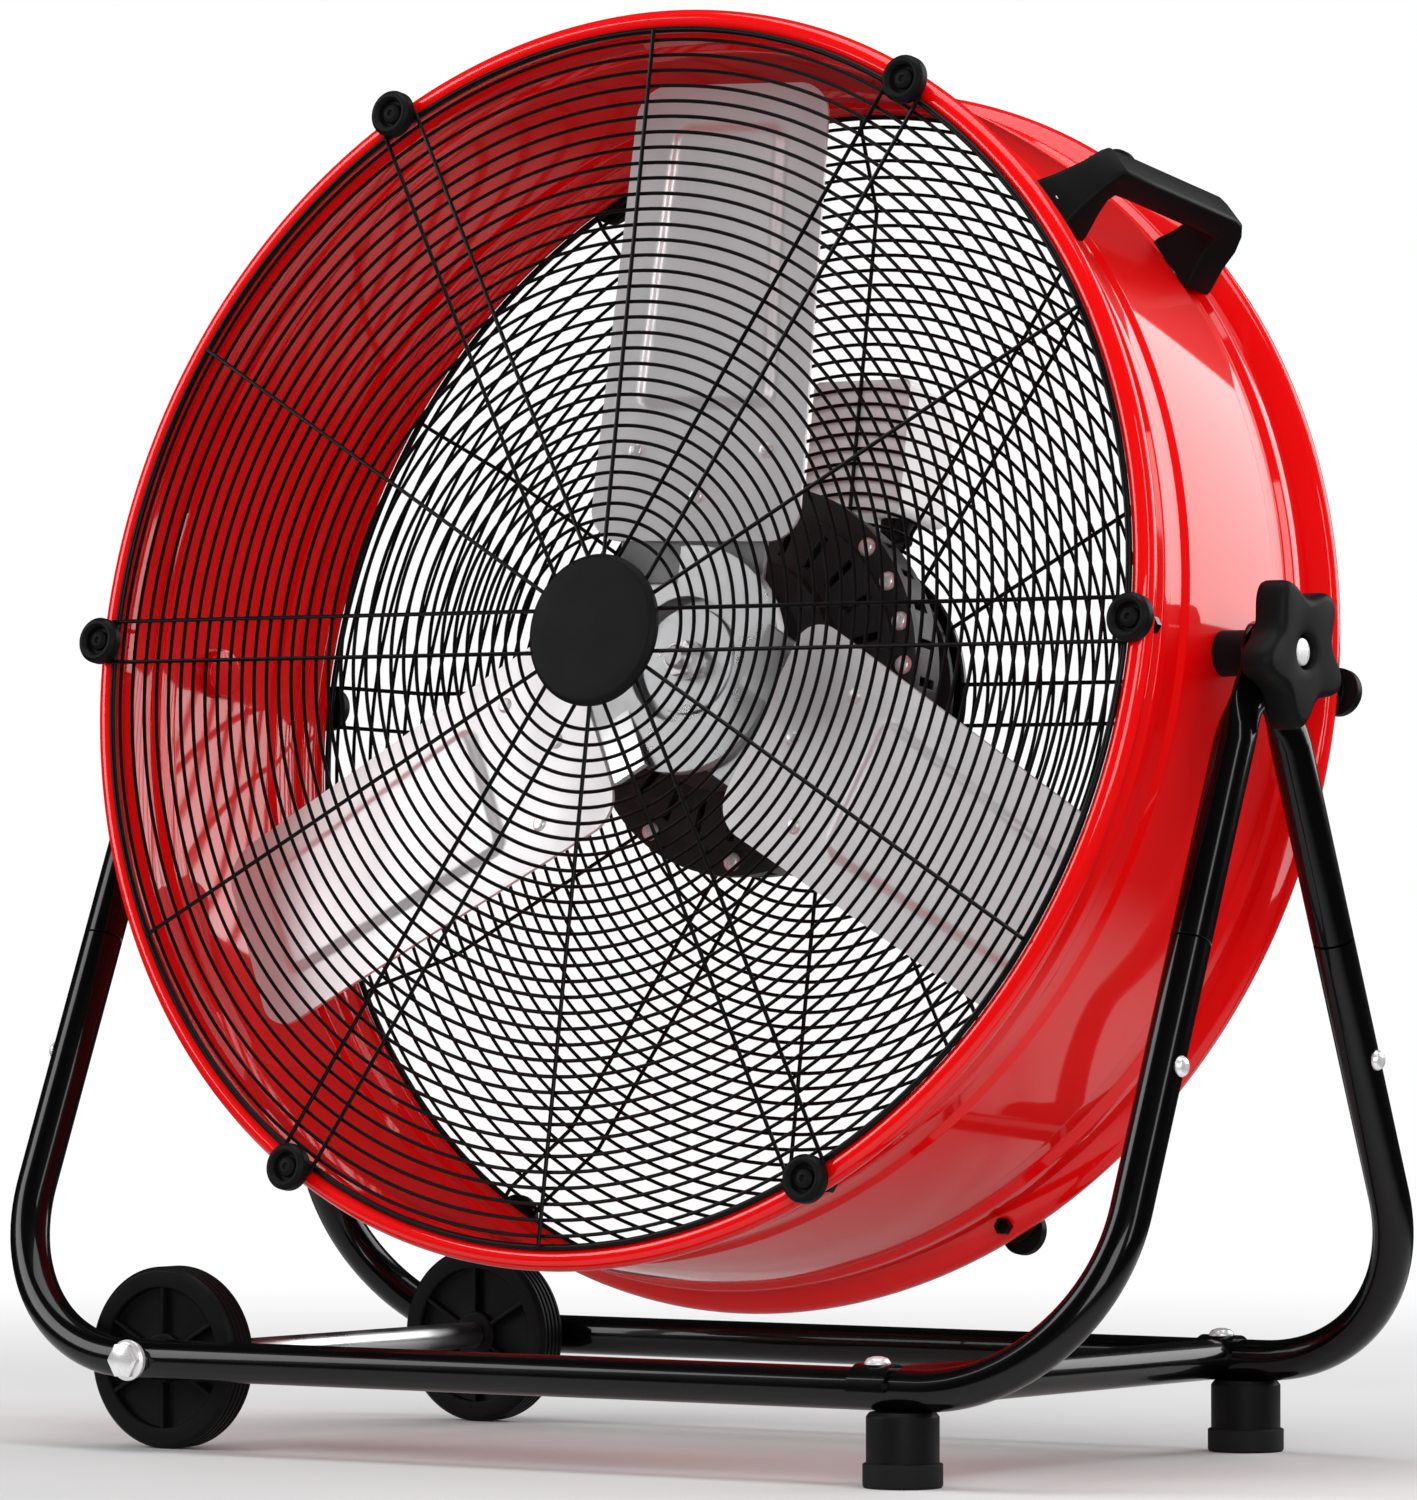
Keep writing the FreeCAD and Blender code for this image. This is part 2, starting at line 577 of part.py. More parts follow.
def blade_hub():
    """Turned hub on the shaft: a disc that fills the spider's centre, a flange behind it and a boss."""
    body = new_body("BladeHub")
    profile = new_sketch(body, "XY_Plane", "HubProfile")
    polygon(profile, [
        ("shaft_radius", "0 - hub_face - 1"), ("hub_radius", "0 - hub_face - 1"),
        ("hub_radius", "1 - hub_face"),
        ("hub_flange_radius", "1 - hub_face"), ("hub_flange_radius", "1 - hub_face + hub_flange_thick"),
        ("boss_radius", "1 - hub_face + hub_flange_thick"), ("boss_radius", "boss_back"),
        ("shaft_radius", "boss_back"),
    ])
    revolved(body, profile)
    finished(body, "blade_hub", HEAD)


def motor_shaft():
    body = new_body("MotorShaft")
    profile = new_sketch(body, "XY_Plane", "ShaftProfile")
    polygon(profile, [
        ("0", "0 - shaft_front"), ("shaft_radius - 1", "0 - shaft_front"), (
            "shaft_radius", "1 - shaft_front"
        ),
        ("shaft_radius", "shaft_back"), ("0", "shaft_back"),
    ])
    revolved(body, profile)
    finished(body, "motor_shaft", HEAD)


def hub_nut():
    """Flanged hexagon nut on the shaft's end, against the hub's face."""
    y = FreeCAD.Vector(0, 1, 0)
    face = -size("hub_face") - 1.0
    flange = Part.makeCylinder(10.5, 1.6, FreeCAD.Vector(0, face - 1.6, 0), y)
    hexagon = Part.Face(Part.makePolygon([polar_point(9.8, 60 * k + 10, face - 8.0) for k in range(7)]))
    nut = flange.fuse(hexagon.extrude(FreeCAD.Vector(0, 6.4, 0)))
    nut = nut.cut(Part.makeCylinder(size("shaft_radius"), 20, FreeCAD.Vector(0, face - 15, 0), y))
    feature_of("hub_nut", [nut], HEAD)


def rotor_core():
    body = new_body("RotorCore")
    profile = new_sketch(body, "XY_Plane", "CoreProfile")
    rectangle(profile, "shaft_radius", "rotor_core_radius", "stator_front + 1", "stator_back - 1")
    revolved(body, profile)
    finished(body, "rotor_core", HEAD)


# ---------------------------------------------------------------- motor

FLANGE_SCREW_ANGLES = (4, 18, 32, 46, 100, 134, 168, 202, 236, 270, 304, 338)


def flange_holes(body, length):
    """Holes on the flange's screw circle, cut to a depth behind and before the head's middle plane."""
    holes = new_sketch(body, "XZ_Plane", "FlangeHoles")
    for degrees in FLANGE_SCREW_ANGLES:
        circle(holes, f"flange_screw_circle * cos({degrees} deg)",
               f"flange_screw_circle * sin({degrees} deg)", "1.85")
    extruded(body, holes, length, cut=True, midplane=True)


def motor_front_bell():
    """Front end bell: stepped nose with the front bearing's seat, a slotted shoulder and the front
    flange."""
    body = new_body("MotorFrontBell")
    profile = new_sketch(body, "XY_Plane", "BellProfile")
    seat = "bearing_radius + 0.02"
    polygon(profile, [
        ("shaft_radius + 2", "bell_front"), ("bell_nose_radius", "bell_front"),
        ("bell_radius", "bell_front + 6"),
        ("bell_radius", "bell_front + 16"), ("91", "flange_front - 3"), ("91", "flange_front"),
        ("flange_radius", "flange_front"), ("flange_radius", "flange_front + 2.5"),
        ("89.5", "flange_front + 2.5"), ("89.5", "flange_front - 0.5"), (
            "bell_radius - 2.5", "bell_front + 18.5"
        ),
        ("bell_radius - 2.5", "bell_front + 7.5"), ("bell_nose_radius - 1", "bell_front + 2.5"),
        ("bearing_radius + 4", "bell_front + 2.5"), ("bearing_radius + 4", "bell_front + 12"),
        (seat, "bell_front + 12"), (seat, "bell_front + 2"), ("shaft_radius + 2", "bell_front + 2"),
    ])
    revolved(body, profile)
    flange_holes(body, "2 * flange_back")
    slot = new_sketch(body, "XZ_Plane", "ShoulderSlot")
    rectangle(slot, "67", "86", "-2.2", "2.2")
    cut = extruded(body, slot, "2 * flange_front - 0.2", cut=True, midplane=True)
    polar(body, cut, "Y_Axis", 24)
    finished(body, "motor_front_bell", HEAD)


def motor_rear_can():
    """Deep rear can with side slots, a cone down to a neck, and the rear bearing's seat in its closed
    end."""
    body = new_body("MotorRearCan")
    profile = new_sketch(body, "XY_Plane", "CanProfile")
    joint = "flange_front + 2.5"
    seat = "bearing_radius + 0.02"
    polygon(profile, [
        ("0", "can_back"), ("can_neck_radius", "can_back"), ("can_neck_radius", "can_step + 9"),
        ("can_radius", "can_step"), ("can_radius", "flange_back"), ("flange_radius", "flange_back"),
        ("flange_radius", joint), ("90", joint), ("90", "flange_back + 2.5"),
        ("can_radius - can_wall", "flange_back + 2.5"), ("can_radius - can_wall", "can_step - 1"),
        ("can_neck_radius - can_wall", "can_step + 8"), (
            "can_neck_radius - can_wall", "can_back - can_wall"
        ),
        ("bearing_radius + 4", "can_back - can_wall"), ("bearing_radius + 4", "shaft_back - bearing_width"),
        (seat, "shaft_back - bearing_width"), (seat, "shaft_back + 0.5"), ("0", "shaft_back + 0.5"),
    ])
    revolved(body, profile)
    flange_holes(body, "2 * flange_back + 3")
    mount_holes = new_sketch(body, "XZ_Plane", "MountHole")
    circle(mount_holes, "60", "0", "2.55")
    hole = extruded(body, mount_holes, "2 * can_back + 2", cut=True, midplane=True)
    polar(body, hole, "Y_Axis", 6)
    slot = new_sketch(body, "XY_Plane", "SideSlot")
    rectangle(slot, "can_radius - 5", "can_radius + 5", "flange_back + 5", "can_step - 5")
    cut = extruded(body, slot, "5", cut=True, midplane=True)
    polar(body, cut, "Y_Axis", 30)
    finished(body, "motor_rear_can", HEAD)


def dome(radius, height):
    """A shallow domed head: its flat underside at the origin, rising along +Z."""
    ball = (radius ** 2 + height ** 2) / (2 * height)
    cap = Part.makeSphere(ball, FreeCAD.Vector(0, 0, height - ball))
    return cap.common(Part.makeCylinder(radius, height))


def domed_screw(radius, head_radius, head_height, length):
    return dome(head_radius, head_height).fuse(
        Part.makeCylinder(radius, length, FreeCAD.Vector(), FreeCAD.Vector(0, 0, -1))
    )


def motor_flange_screws():
    screw = domed_screw(1.8, size("flange_screw_head"), 3.2, 6.0)
    forward = placed(screw, size("flange_screw_circle"), size("flange_front"), 0,
                     FreeCAD.Rotation(FreeCAD.Vector(1, 0, 0), 90))
    feature_of("motor_flange_screws", [spun(forward, degrees) for degrees in FLANGE_SCREW_ANGLES], HEAD)


def stator():
    """Stacked stator ring with four lugs that reach the can, and a ring of windings at each end."""
    y = FreeCAD.Vector(0, 1, 0)
    front, back = size("stator_front"), size("stator_back")
    core = Part.makeCylinder(size("stator_radius"), back - front, FreeCAD.Vector(0, front, 0), y)
    inside = size("can_radius") - size("can_wall")
    lug = Part.makeBox(inside - 50, 14, 16, FreeCAD.Vector(50, 58, -8)).common(
        Part.makeCylinder(inside, 14, FreeCAD.Vector(0, 58, 0), y)
    )
    for k in range(4):
        core = core.fuse(spun(lug, 90 * k + 45))
    core = core.cut(Part.makeCylinder(size("stator_bore"), back - front, FreeCAD.Vector(0, front, 0), y))
    feature_of("stator_core", [core], HEAD)
    coils = [Part.makeTorus(50, 5.5, FreeCAD.Vector(0, depth, 0), y) for depth in (front - 5.5, back + 5.5)]
    feature_of("stator_coils", coils, HEAD)


def bearings():
    """The two shaft bearings, one in each end of the motor."""
    width = size("bearing_width")
    rings = []
    for front in (size("bell_front") + 2, size("shaft_back") - width):
        outer = along_y(size("bearing_radius"), 0, 0, front, front + width)
        rings.append(outer.cut(along_y(size("shaft_radius") + 0.05, 0, 0, front - 1, front + width + 1)))
    feature_of("bearings", rings, HEAD)


def motor_mount():
    """Steel disc between the motor and the rear guard, and a dished ring that clamps the guard's wires
    to it."""
    disc = new_body("MountDisc")
    plate = new_sketch(disc, "XZ_Plane", "DiscOutline")
    circle(plate, "0", "0", "disc_radius")
    extruded(disc, plate, "disc_thick", reverse=True)
    plate.AttachmentOffset = FreeCAD.Placement()
    plate.setExpression("AttachmentOffset.Base.z", full("0 - can_back"))
    doc.recompute()
    hole_sketch = new_sketch(disc, "XZ_Plane", "DiscHole")
    circle(hole_sketch, "60", "0", "2.55")
    hole = extruded(disc, hole_sketch, "2 * can_back + 20", cut=True, midplane=True)
    polar(disc, hole, "Y_Axis", 6)
    finished(disc, "mount_disc", HEAD)

    ring = new_body("MountRing")
    profile = new_sketch(ring, "XY_Plane", "RingProfile")
    disc_back = "can_back + disc_thick"
    wires_back = "drum_back + 0.5 + rear_dish + ring_wire / 2 + radial_wire"
    polygon(profile, [
        ("54", disc_back), ("68", disc_back), ("71", wires_back), ("83", wires_back),
        ("83", f"{wires_back} + 2"), ("70", f"{wires_back} + 2"), ("67", f"{disc_back} + 2"),
        ("54", f"{disc_back} + 2"),
    ])
    revolved(ring, profile)
    clamp_sketch = new_sketch(ring, "XZ_Plane", "RingHole")
    circle(clamp_sketch, "60", "0", "2.55")
    clamp_hole = extruded(ring, clamp_sketch, "2 * can_back + 40", cut=True, midplane=True)
    polar(ring, clamp_hole, "Y_Axis", 6)
    finished(ring, "mount_ring", HEAD)

    screw = domed_screw(2.5, 5.0, 3.0, 2 + size("disc_thick") + 2.3)
    back = placed(screw, 60, size("can_back") + size("disc_thick") + 2, 0,
                  FreeCAD.Rotation(FreeCAD.Vector(1, 0, 0), -90))
    feature_of("mount_screws", [spun(back, 60 * k) for k in range(6)], HEAD)


# ---------------------------------------------------------------- speed-control box

BOX_SCREW_SEATS = ((-25.5, 110.5), (25.5, 110.5), (-25.5, 172.5), (25.5, 172.5))     # x, z
DIAL_SEAT = (0.0, 131.0)


def along_y(radius, x, z, low, high):
    return Part.makeCylinder(radius, high - low, FreeCAD.Vector(x, low, z), FreeCAD.Vector(0, 1, 0))


def control_box():
    """Open-backed moulded box on the rear guard with a post in each corner, and the parts inside it."""
    half, low, high = size("box_half_width"), size("box_low"), size("box_high")
    front, wall = size("box_front"), size("box_wall")
    back = front + size("box_depth")
    shell = Part.makeBox(2 * half, back - front, high - low, FreeCAD.Vector(-half, front, low))
    shell = shell.makeFillet(4.0, [e for e in shell.Edges if abs(e.Length - (back - front)) < 1e-3])
    hollow = Part.makeBox(
        2 * (half - wall), back - front, high - low - 2 * wall, FreeCAD.Vector(
            wall - half, front + wall, low + wall
        )
    )
    shell = shell.cut(hollow)
    for x, z in BOX_SCREW_SEATS:
        shell = shell.fuse(along_y(4.5, x, z, front + 1, back))
    for x, z in BOX_SCREW_SEATS:
        shell = shell.cut(along_y(1.55, x, z, back - 12, back + 1))
    gland_y = (front + back) / 2
    shell = shell.cut(Part.makeCylinder(6.05, 10, FreeCAD.Vector(16, gland_y, low - 4)))
    feature_of("control_box", [shell], HEAD)

    cover = Part.makeBox(2 * half, 2.0, high - low, FreeCAD.Vector(-half, back, low))
    cover = cover.makeFillet(4.0, [e for e in cover.Edges if abs(e.Length - 2.0) < 1e-3])
    for x, z in BOX_SCREW_SEATS:
        cover = cover.cut(along_y(1.55, x, z, back - 1, back + 3))
    cover = cover.cut(along_y(size("dial_stem_radius") + 0.06, *DIAL_SEAT, back - 1, back + 3))
    feature_of("control_box_cover", [cover], HEAD)

    screw = domed_screw(1.5, 3.4, 2.0, 12.0)
    turned = FreeCAD.Rotation(FreeCAD.Vector(1, 0, 0), -90)
    feature_of("box_screws", [placed(screw, x, back + 2.0, z, turned) for x, z in BOX_SCREW_SEATS], HEAD)

    switch = Part.makeBox(26, 22, 24, FreeCAD.Vector(-13, back - 22, DIAL_SEAT[1] - 12))
    switch = switch.cut(along_y(size("dial_stem_radius") + 0.06, *DIAL_SEAT, back - 12, back + 1))
    feature_of("speed_switch", [switch], HEAD)

    capacitor = Part.makeCylinder(
        14, 40, FreeCAD.Vector(-20, front + wall + 14, high - wall - 17), FreeCAD.Vector(1, 0, 0)
    )
    feature_of("run_capacitor", [capacitor], HEAD)

    gland = Part.makeCylinder(size("gland_radius"), 14, FreeCAD.Vector(16, gland_y, low - 14))
    gland = gland.makeFillet(3.0, [e for e in gland.Edges if e.BoundBox.ZMax < low - 13.9 and e.Closed])
    gland = gland.fuse(Part.makeCylinder(6.0, 6, FreeCAD.Vector(16, gland_y, low)))
    gland = gland.cut(Part.makeCylinder(3.5, 12, FreeCAD.Vector(16, gland_y, low - 14)))
    feature_of("cable_gland", [gland], HEAD)


def speed_dial():
    """Round knob with a raised finger bar, on a stem that turns in the cover and the switch."""
    back = size("box_front") + size("box_depth") + 2.0
    x, z = DIAL_SEAT
    knob = along_y(size("dial_radius"), x, z, back + 0.5, back + 6.5)
    knob = knob.makeFillet(1.5, [e for e in knob.Edges if e.BoundBox.YMin > back + 6.4 and e.Closed])
    bar = Part.makeBox(10, size("dial_height") - 6, 2 * size("dial_radius") - 6,
                       FreeCAD.Vector(x - 5, back + 6, z - size("dial_radius") + 3))
    bar = bar.makeFillet(2.0, [e for e in bar.Edges if e.BoundBox.YMin > back + size("dial_height") - 0.1])
    stem = along_y(size("dial_stem_radius"), x, z, back - 12, back + 3)
    feature_of("speed_dial", [knob.fuse(bar).fuse(stem)], HEAD)


# ---------------------------------------------------------------- carry handle

def drum_outside():
    """The drum's pressed outer surface as a solid, for seating the handle's feet."""
    middle = (size("drum_back") - size("drum_front")) / 2
    skin, rib, panel = size("skin_radius"), size("rib_height"), size("panel_height")
    offset, half = size("rib_offset"), size("rib_width") / 2
    outline = [(skin + 4, -80.5), (skin, -74.5), (skin, middle - offset - half), (skin + rib,
                                                                                  middle - offset - 3),
               (skin + rib, middle - offset + 3), (skin, middle - offset + half), (skin, middle - 45),
               (skin + panel, middle - 41), (skin + panel, middle + 41), (skin, middle + 45),
               (skin, middle + offset - half), (skin + rib, middle + offset - 3),
               (skin + rib, middle + offset + 3), (skin, middle + offset + half), (skin, 84.5)]
    corners = [(0, -80.5)] + outline + [(0, 84.5)]
    points = [FreeCAD.Vector(radius, y, 0) for radius, y in corners]
    face = Part.Face(Part.makePolygon(points + points[:1]))
    return face.revolve(FreeCAD.Vector(), FreeCAD.Vector(0, 1, 0), 360)


def handle():
    """Moulded carry handle: a flat bar on two feet that widen onto the drum."""
    top, under = size("handle_top"), size("handle_under")
    half, foot_half = size("handle_half_width"), size("handle_foot_half_width")
    side = [(-size("handle_front"), 300), (-size("handle_front"), 316), (-size("handle_top_front"), top),
            (size("handle_inner_back") + 5, top), (size("handle_back") - 8, top - 4),
            (size("handle_back"), top - 16),
            (size("handle_back"), 300), (size("handle_inner_back") + 2, 300), (
                size("handle_inner_back"), under
            ),
            (-size("handle_inner_front"), under), (-size("handle_inner_front"), 300)]
    points = [FreeCAD.Vector(-30, y, z) for y, z in side]
    grip = Part.Face(Part.makePolygon(points + points[:1])).extrude(FreeCAD.Vector(60, 0, 0))
    plan = [(-foot_half, 300), (-foot_half, 321), (-half, under - 2), (-half, top), (half, top), (half,
            under - 2),
            (foot_half, 321), (foot_half, 300)]
    points = [FreeCAD.Vector(x, -100, z) for x, z in plan]
    grip = grip.common(Part.Face(Part.makePolygon(points + points[:1])).extrude(FreeCAD.Vector(0, 200, 0)))
    grip = grip.cut(drum_outside())
    for y in HANDLE_SCREWS:
        grip = grip.cut(Part.makeCylinder(2.55, 16, FreeCAD.Vector(0, y, 314)))
    feature_of("handle", [grip], about_drum(size("handle_angle") - 90))

    screw = Part.makeCylinder(5.0, 2.6, FreeCAD.Vector(0, 0, -2.6)).fuse(Part.makeCylinder(2.5, 14))
    screws = [placed(screw, 0, y, 314.4) for y in HANDLE_SCREWS]
    feature_of("handle_screws", screws, about_drum(size("handle_angle") - 90))


# ---------------------------------------------------------------- pivots and clamp knobs

def mirrored_label(base, side):
    return f"{base}_{'right' if side > 0 else 'left'}"


def along_x(radius, low, high, y=0.0, z=0.0):
    return Part.makeCylinder(radius, high - low, FreeCAD.Vector(low, y, z), FreeCAD.Vector(1, 0, 0))


def on_side(shape, side):
    """A part drawn on the right, or its mirror image on the left."""
    return shape if side > 0 else shape.mirror(FreeCAD.Vector(), FreeCAD.Vector(1, 0, 0))


def pivots():
    plate_in = size("leg_plane") - size("plate_thick")
    drum_face = size("skin_radius") + size("panel_height")
    fit = size("pivot_bolt_radius") + size("pivot_fit")
    spacer = along_x(size("spacer_radius"), drum_face, plate_in - 0.3)
    spacer = spacer.cut(along_x(fit, drum_face - 1, plate_in))
    head_back = drum_face - size("skin_wall") - 0.4
    bolt = along_x(size("bolt_head_radius"), head_back - size("bolt_head_thick"), head_back)
    bolt = bolt.makeFillet(1.5, [e for e in bolt.Edges if e.BoundBox.XMax < head_back - 4.9 and e.Closed])
    end = size("leg_plane") + size("plate_thick") + size("knob_gap") + size("knob_thick") - 3.0
    shank = along_x(size("pivot_bolt_radius"), head_back, end)
    shank = shank.makeChamfer(1.0, [e for e in shank.Edges if e.BoundBox.XMin > end - 0.1 and e.Closed])
    bolt = bolt.fuse(shank)
    feature_of("pivot_spacers", [on_side(spacer, side) for side in (1, -1)], HEAD)
    feature_of("pivot_bolts", [on_side(bolt, side) for side in (1, -1)], HEAD)


def clamp_knob():
    """Five-lobed knob with a round boss and a recess around the bolt's end."""
    start = size("leg_plane") + size("plate_thick") + size("knob_gap")
    end = start + size("knob_thick")
    knob = along_x(size("knob_core_radius"), start + 4, end)
    lobe_at = size("knob_radius") - size("knob_lobe_radius")
    for k in range(5):
        angle = math.radians(size("knob_angle") + 72 * k)
        y, z = lobe_at * math.cos(angle), lobe_at * math.sin(angle)
        knob = knob.fuse(along_x(size("knob_lobe_radius"), start + 4, end, y, z))
    knob = knob.removeSplitter()
    rounded = [e for e in knob.Edges if e.BoundBox.XLength < 1e-3]
    knob = knob.makeFillet(3.0, rounded)
    knob = knob.fuse(along_x(size("knob_boss_radius"), start, start + 6))
    knob = knob.cut(along_x(size("pivot_bolt_radius") + size("pivot_fit"), start - 1, end + 1))
    return knob.cut(along_x(size("knob_recess_radius"), end - size("knob_recess_depth"), end + 1))


def knobs():
    for side in (1, -1):
        feature_of(mirrored_label("knob", side), [on_side(clamp_knob(), side)], HEAD)


# ---------------------------------------------------------------- stand

def lean():
    rise = size("pivot_height") - size("tube_height")
    return math.degrees(math.atan((size("frame_half_depth") - size("aim_offset")) / rise))


def frame_placement(front):
    """A U frame is drawn flat in XZ with its bottom tube along X through the origin, then leaned to
    the pivot."""
    sign = -1 if front else 1
    base = FreeCAD.Vector(0, sign * size("frame_half_depth"), size("tube_height"))
    return STAND.multiply(FreeCAD.Placement(base, FreeCAD.Rotation(FreeCAD.Vector(1, 0, 0), sign * lean())))


def slope_of(height):
    """Distance up a leaned frame to a height above the floor."""
    return (height - size("tube_height")) / math.cos(math.radians(lean()))


def frame_wire(top):
    """Centre line of a U frame from the left joint, round the two bends, to the right joint."""
    half, bend = size("leg_plane"), size("bend_radius")
    diagonal = bend * (1 - math.sqrt(0.5))
    at = FreeCAD.Vector
    edges = [
        Part.makeLine(at(-half, 0, top), at(-half, 0, bend)),
        Part.Arc(at(-half, 0, bend), at(-half + diagonal, 0, diagonal), at(-half + bend, 0, 0)).toShape(),
        Part.makeLine(at(-half + bend, 0, 0), at(half - bend, 0, 0)),
        Part.Arc(at(half - bend, 0, 0), at(half - diagonal, 0, diagonal), at(half, 0, bend)).toShape(),
        Part.makeLine(at(half, 0, bend), at(half, 0, top)),
    ]
    return Part.Wire(edges)


def swept(radius, top):
    profile = Part.Wire(
        Part.makeCircle(radius, FreeCAD.Vector(-size("leg_plane"), 0, top), FreeCAD.Vector(0, 0, 1))
    )
    return frame_wire(top).makePipeShell([profile], True, True)


def frame_tube(label, front):
    """Bent steel tube, open at both tops, drilled for the axle at the wheel end and for the joint
    screws."""
    placement = frame_placement(front)
    joint = slope_of(size("joint_height"))
    tube = swept(size("tube_radius"), joint).cut(swept(size("tube_radius") - size("tube_wall"), joint))
    axle = along_y(size("axle_radius") + size("axle_fit"), -size("wheel_x"), size("tube_height"), -300, 300)
    axle.Placement = placement.inverse().multiply(STAND).multiply(axle.Placement)
    saddle = Part.makeCylinder(
        size("saddle_screw_radius") + 0.05, 20,
        FreeCAD.Vector(size("crossbar_x"), 0, 0), FreeCAD.Vector(0, 0, 1),
    )
    saddle.Placement = FreeCAD.Placement(
        FreeCAD.Vector(), placement.Rotation.inverted()
    ).multiply(saddle.Placement)
    screw_at = slope_of(size("leg_screw_height"))
    joints = along_x(
        size("leg_screw_radius") + 0.05, size("leg_plane"), size("leg_plane") + 20, 0, screw_at
    )
    tube = tube.cut(axle).cut(saddle).cut(joints).cut(on_side(joints, -1))
    feature_of(label, [tube], placement)


def leg_shape(front):
    """Upper leg on the right: a spigot, a tube pressed flat towards its top, and a round-ended drilled
    plate."""
    plane, radius = size("leg_plane"), size("tube_radius")
    joint = slope_of(size("joint_height"))
    up = FreeCAD.Vector(0, 0, 1)
    at = FreeCAD.Vector
    spigot = Part.makeCylinder(
        size("spigot_radius"), size("spigot_length") + 1, at(plane, 0, joint - size("spigot_length"))
    )
    tube = Part.makeCylinder(radius, 345 - joint, at(plane, 0, joint))
    shift = size("plate_thick") / 2 if front else -size("plate_thick") / 2
    lower = Part.Wire(Part.makeCircle(radius, at(plane, 0, 345), up))
    flat = Part.Wire(Part.Ellipse(at(plane + shift, 0, 374), 14.2, 1.9).toShape())
    flat.rotate(at(plane + shift, 0, 374), up, 90)
    squeeze = Part.makeLoft([lower, flat], True)
    pivot_v, pivot_n = pivot_in_frame(front)
    inner = plane if front else plane - size("plate_thick")
    thick = size("plate_thick")
    x = FreeCAD.Vector(1, 0, 0)
    plate = Part.makeCylinder(16, thick, at(inner, pivot_n, pivot_v), x)
    base = Part.makeCylinder(14, thick, at(inner, 0, 376), x)
    joiner = hull_of_discs((pivot_n, pivot_v, 16.0), (0.0, 376.0, 14.0), inner, thick)
    plate = plate.fuse(base).fuse(joiner)
    leg = spigot.fuse(tube).fuse(squeeze).fuse(plate)
    leg = leg.cut(along_x(
        size("pivot_bolt_radius") + size("pivot_fit"), inner - 1, inner + thick + 1, pivot_n, pivot_v
    ))
    bore = Part.makeCylinder(
        7.4, 340 - joint + size("spigot_length"), at(plane, 0, joint - size("spigot_length"))
    )
    screw_at = slope_of(size("leg_screw_height"))
    hole = along_x(size("leg_screw_radius") + 0.05, plane, plane + 20, 0, screw_at)
    return leg.cut(bore).cut(hole)


def pivot_in_frame(front):
    """Where the tilt axis passes through a leaned frame: distance up the slope and offset square to it."""
    pivot = STAND.multVec(FreeCAD.Vector(0, 0, size("pivot_height")))
    local = frame_placement(front).inverse().multVec(pivot)
    return local.z, local.y


def hull_of_discs(first, second, inner, thick):
    """The flat web tangent to two discs (centre y, centre z, radius) in a plane square to X."""
    (y0, z0, r0), (y1, z1, r1) = first, second
    reach = math.hypot(y1 - y0, z1 - z0)
    heading = math.atan2(z1 - z0, y1 - y0)
    spread = math.acos((r0 - r1) / reach)
    corners = []
    for y, z, radius, sign in ((y0, z0, r0, 1), (y1, z1, r1, 1), (y1, z1, r1, -1), (y0, z0, r0, -1)):
        angle = heading + sign * spread
        corners.append(FreeCAD.Vector(inner, y + radius * math.cos(angle), z + radius * math.sin(angle)))
    return Part.Face(Part.makePolygon(corners + corners[:1])).extrude(FreeCAD.Vector(thick, 0, 0))


def stand_frames():
    for name, front in (("front", True), ("rear", False)):
        frame_tube(f"{name}_frame_tube", front)
        for side in (1, -1):
            feature_of(mirrored_label(f"leg_{name}", side), [on_side(leg_shape(front), side)],
                       frame_placement(front))


def leg_screws():
    """Four domed screws through the lower tubes into the spigots, two to a frame."""
    screw = domed_screw(size("leg_screw_radius"), size("leg_screw_head"), 3.4, 10.0)
    outward = FreeCAD.Rotation(FreeCAD.Vector(0, 1, 0), 90)
    at = size("leg_plane") + size("tube_radius")
    right = placed(screw, at, 0, slope_of(size("leg_screw_height")), outward)
    pieces = []
    for front in (True, False):
        base = STAND.inverse().multiply(frame_placement(front))
        for side in (1, -1):
            piece = on_side(right, side).copy()
            piece.Placement = base.multiply(piece.Placement)
            pieces.append(piece)
    feature_of("leg_screws", pieces, STAND)


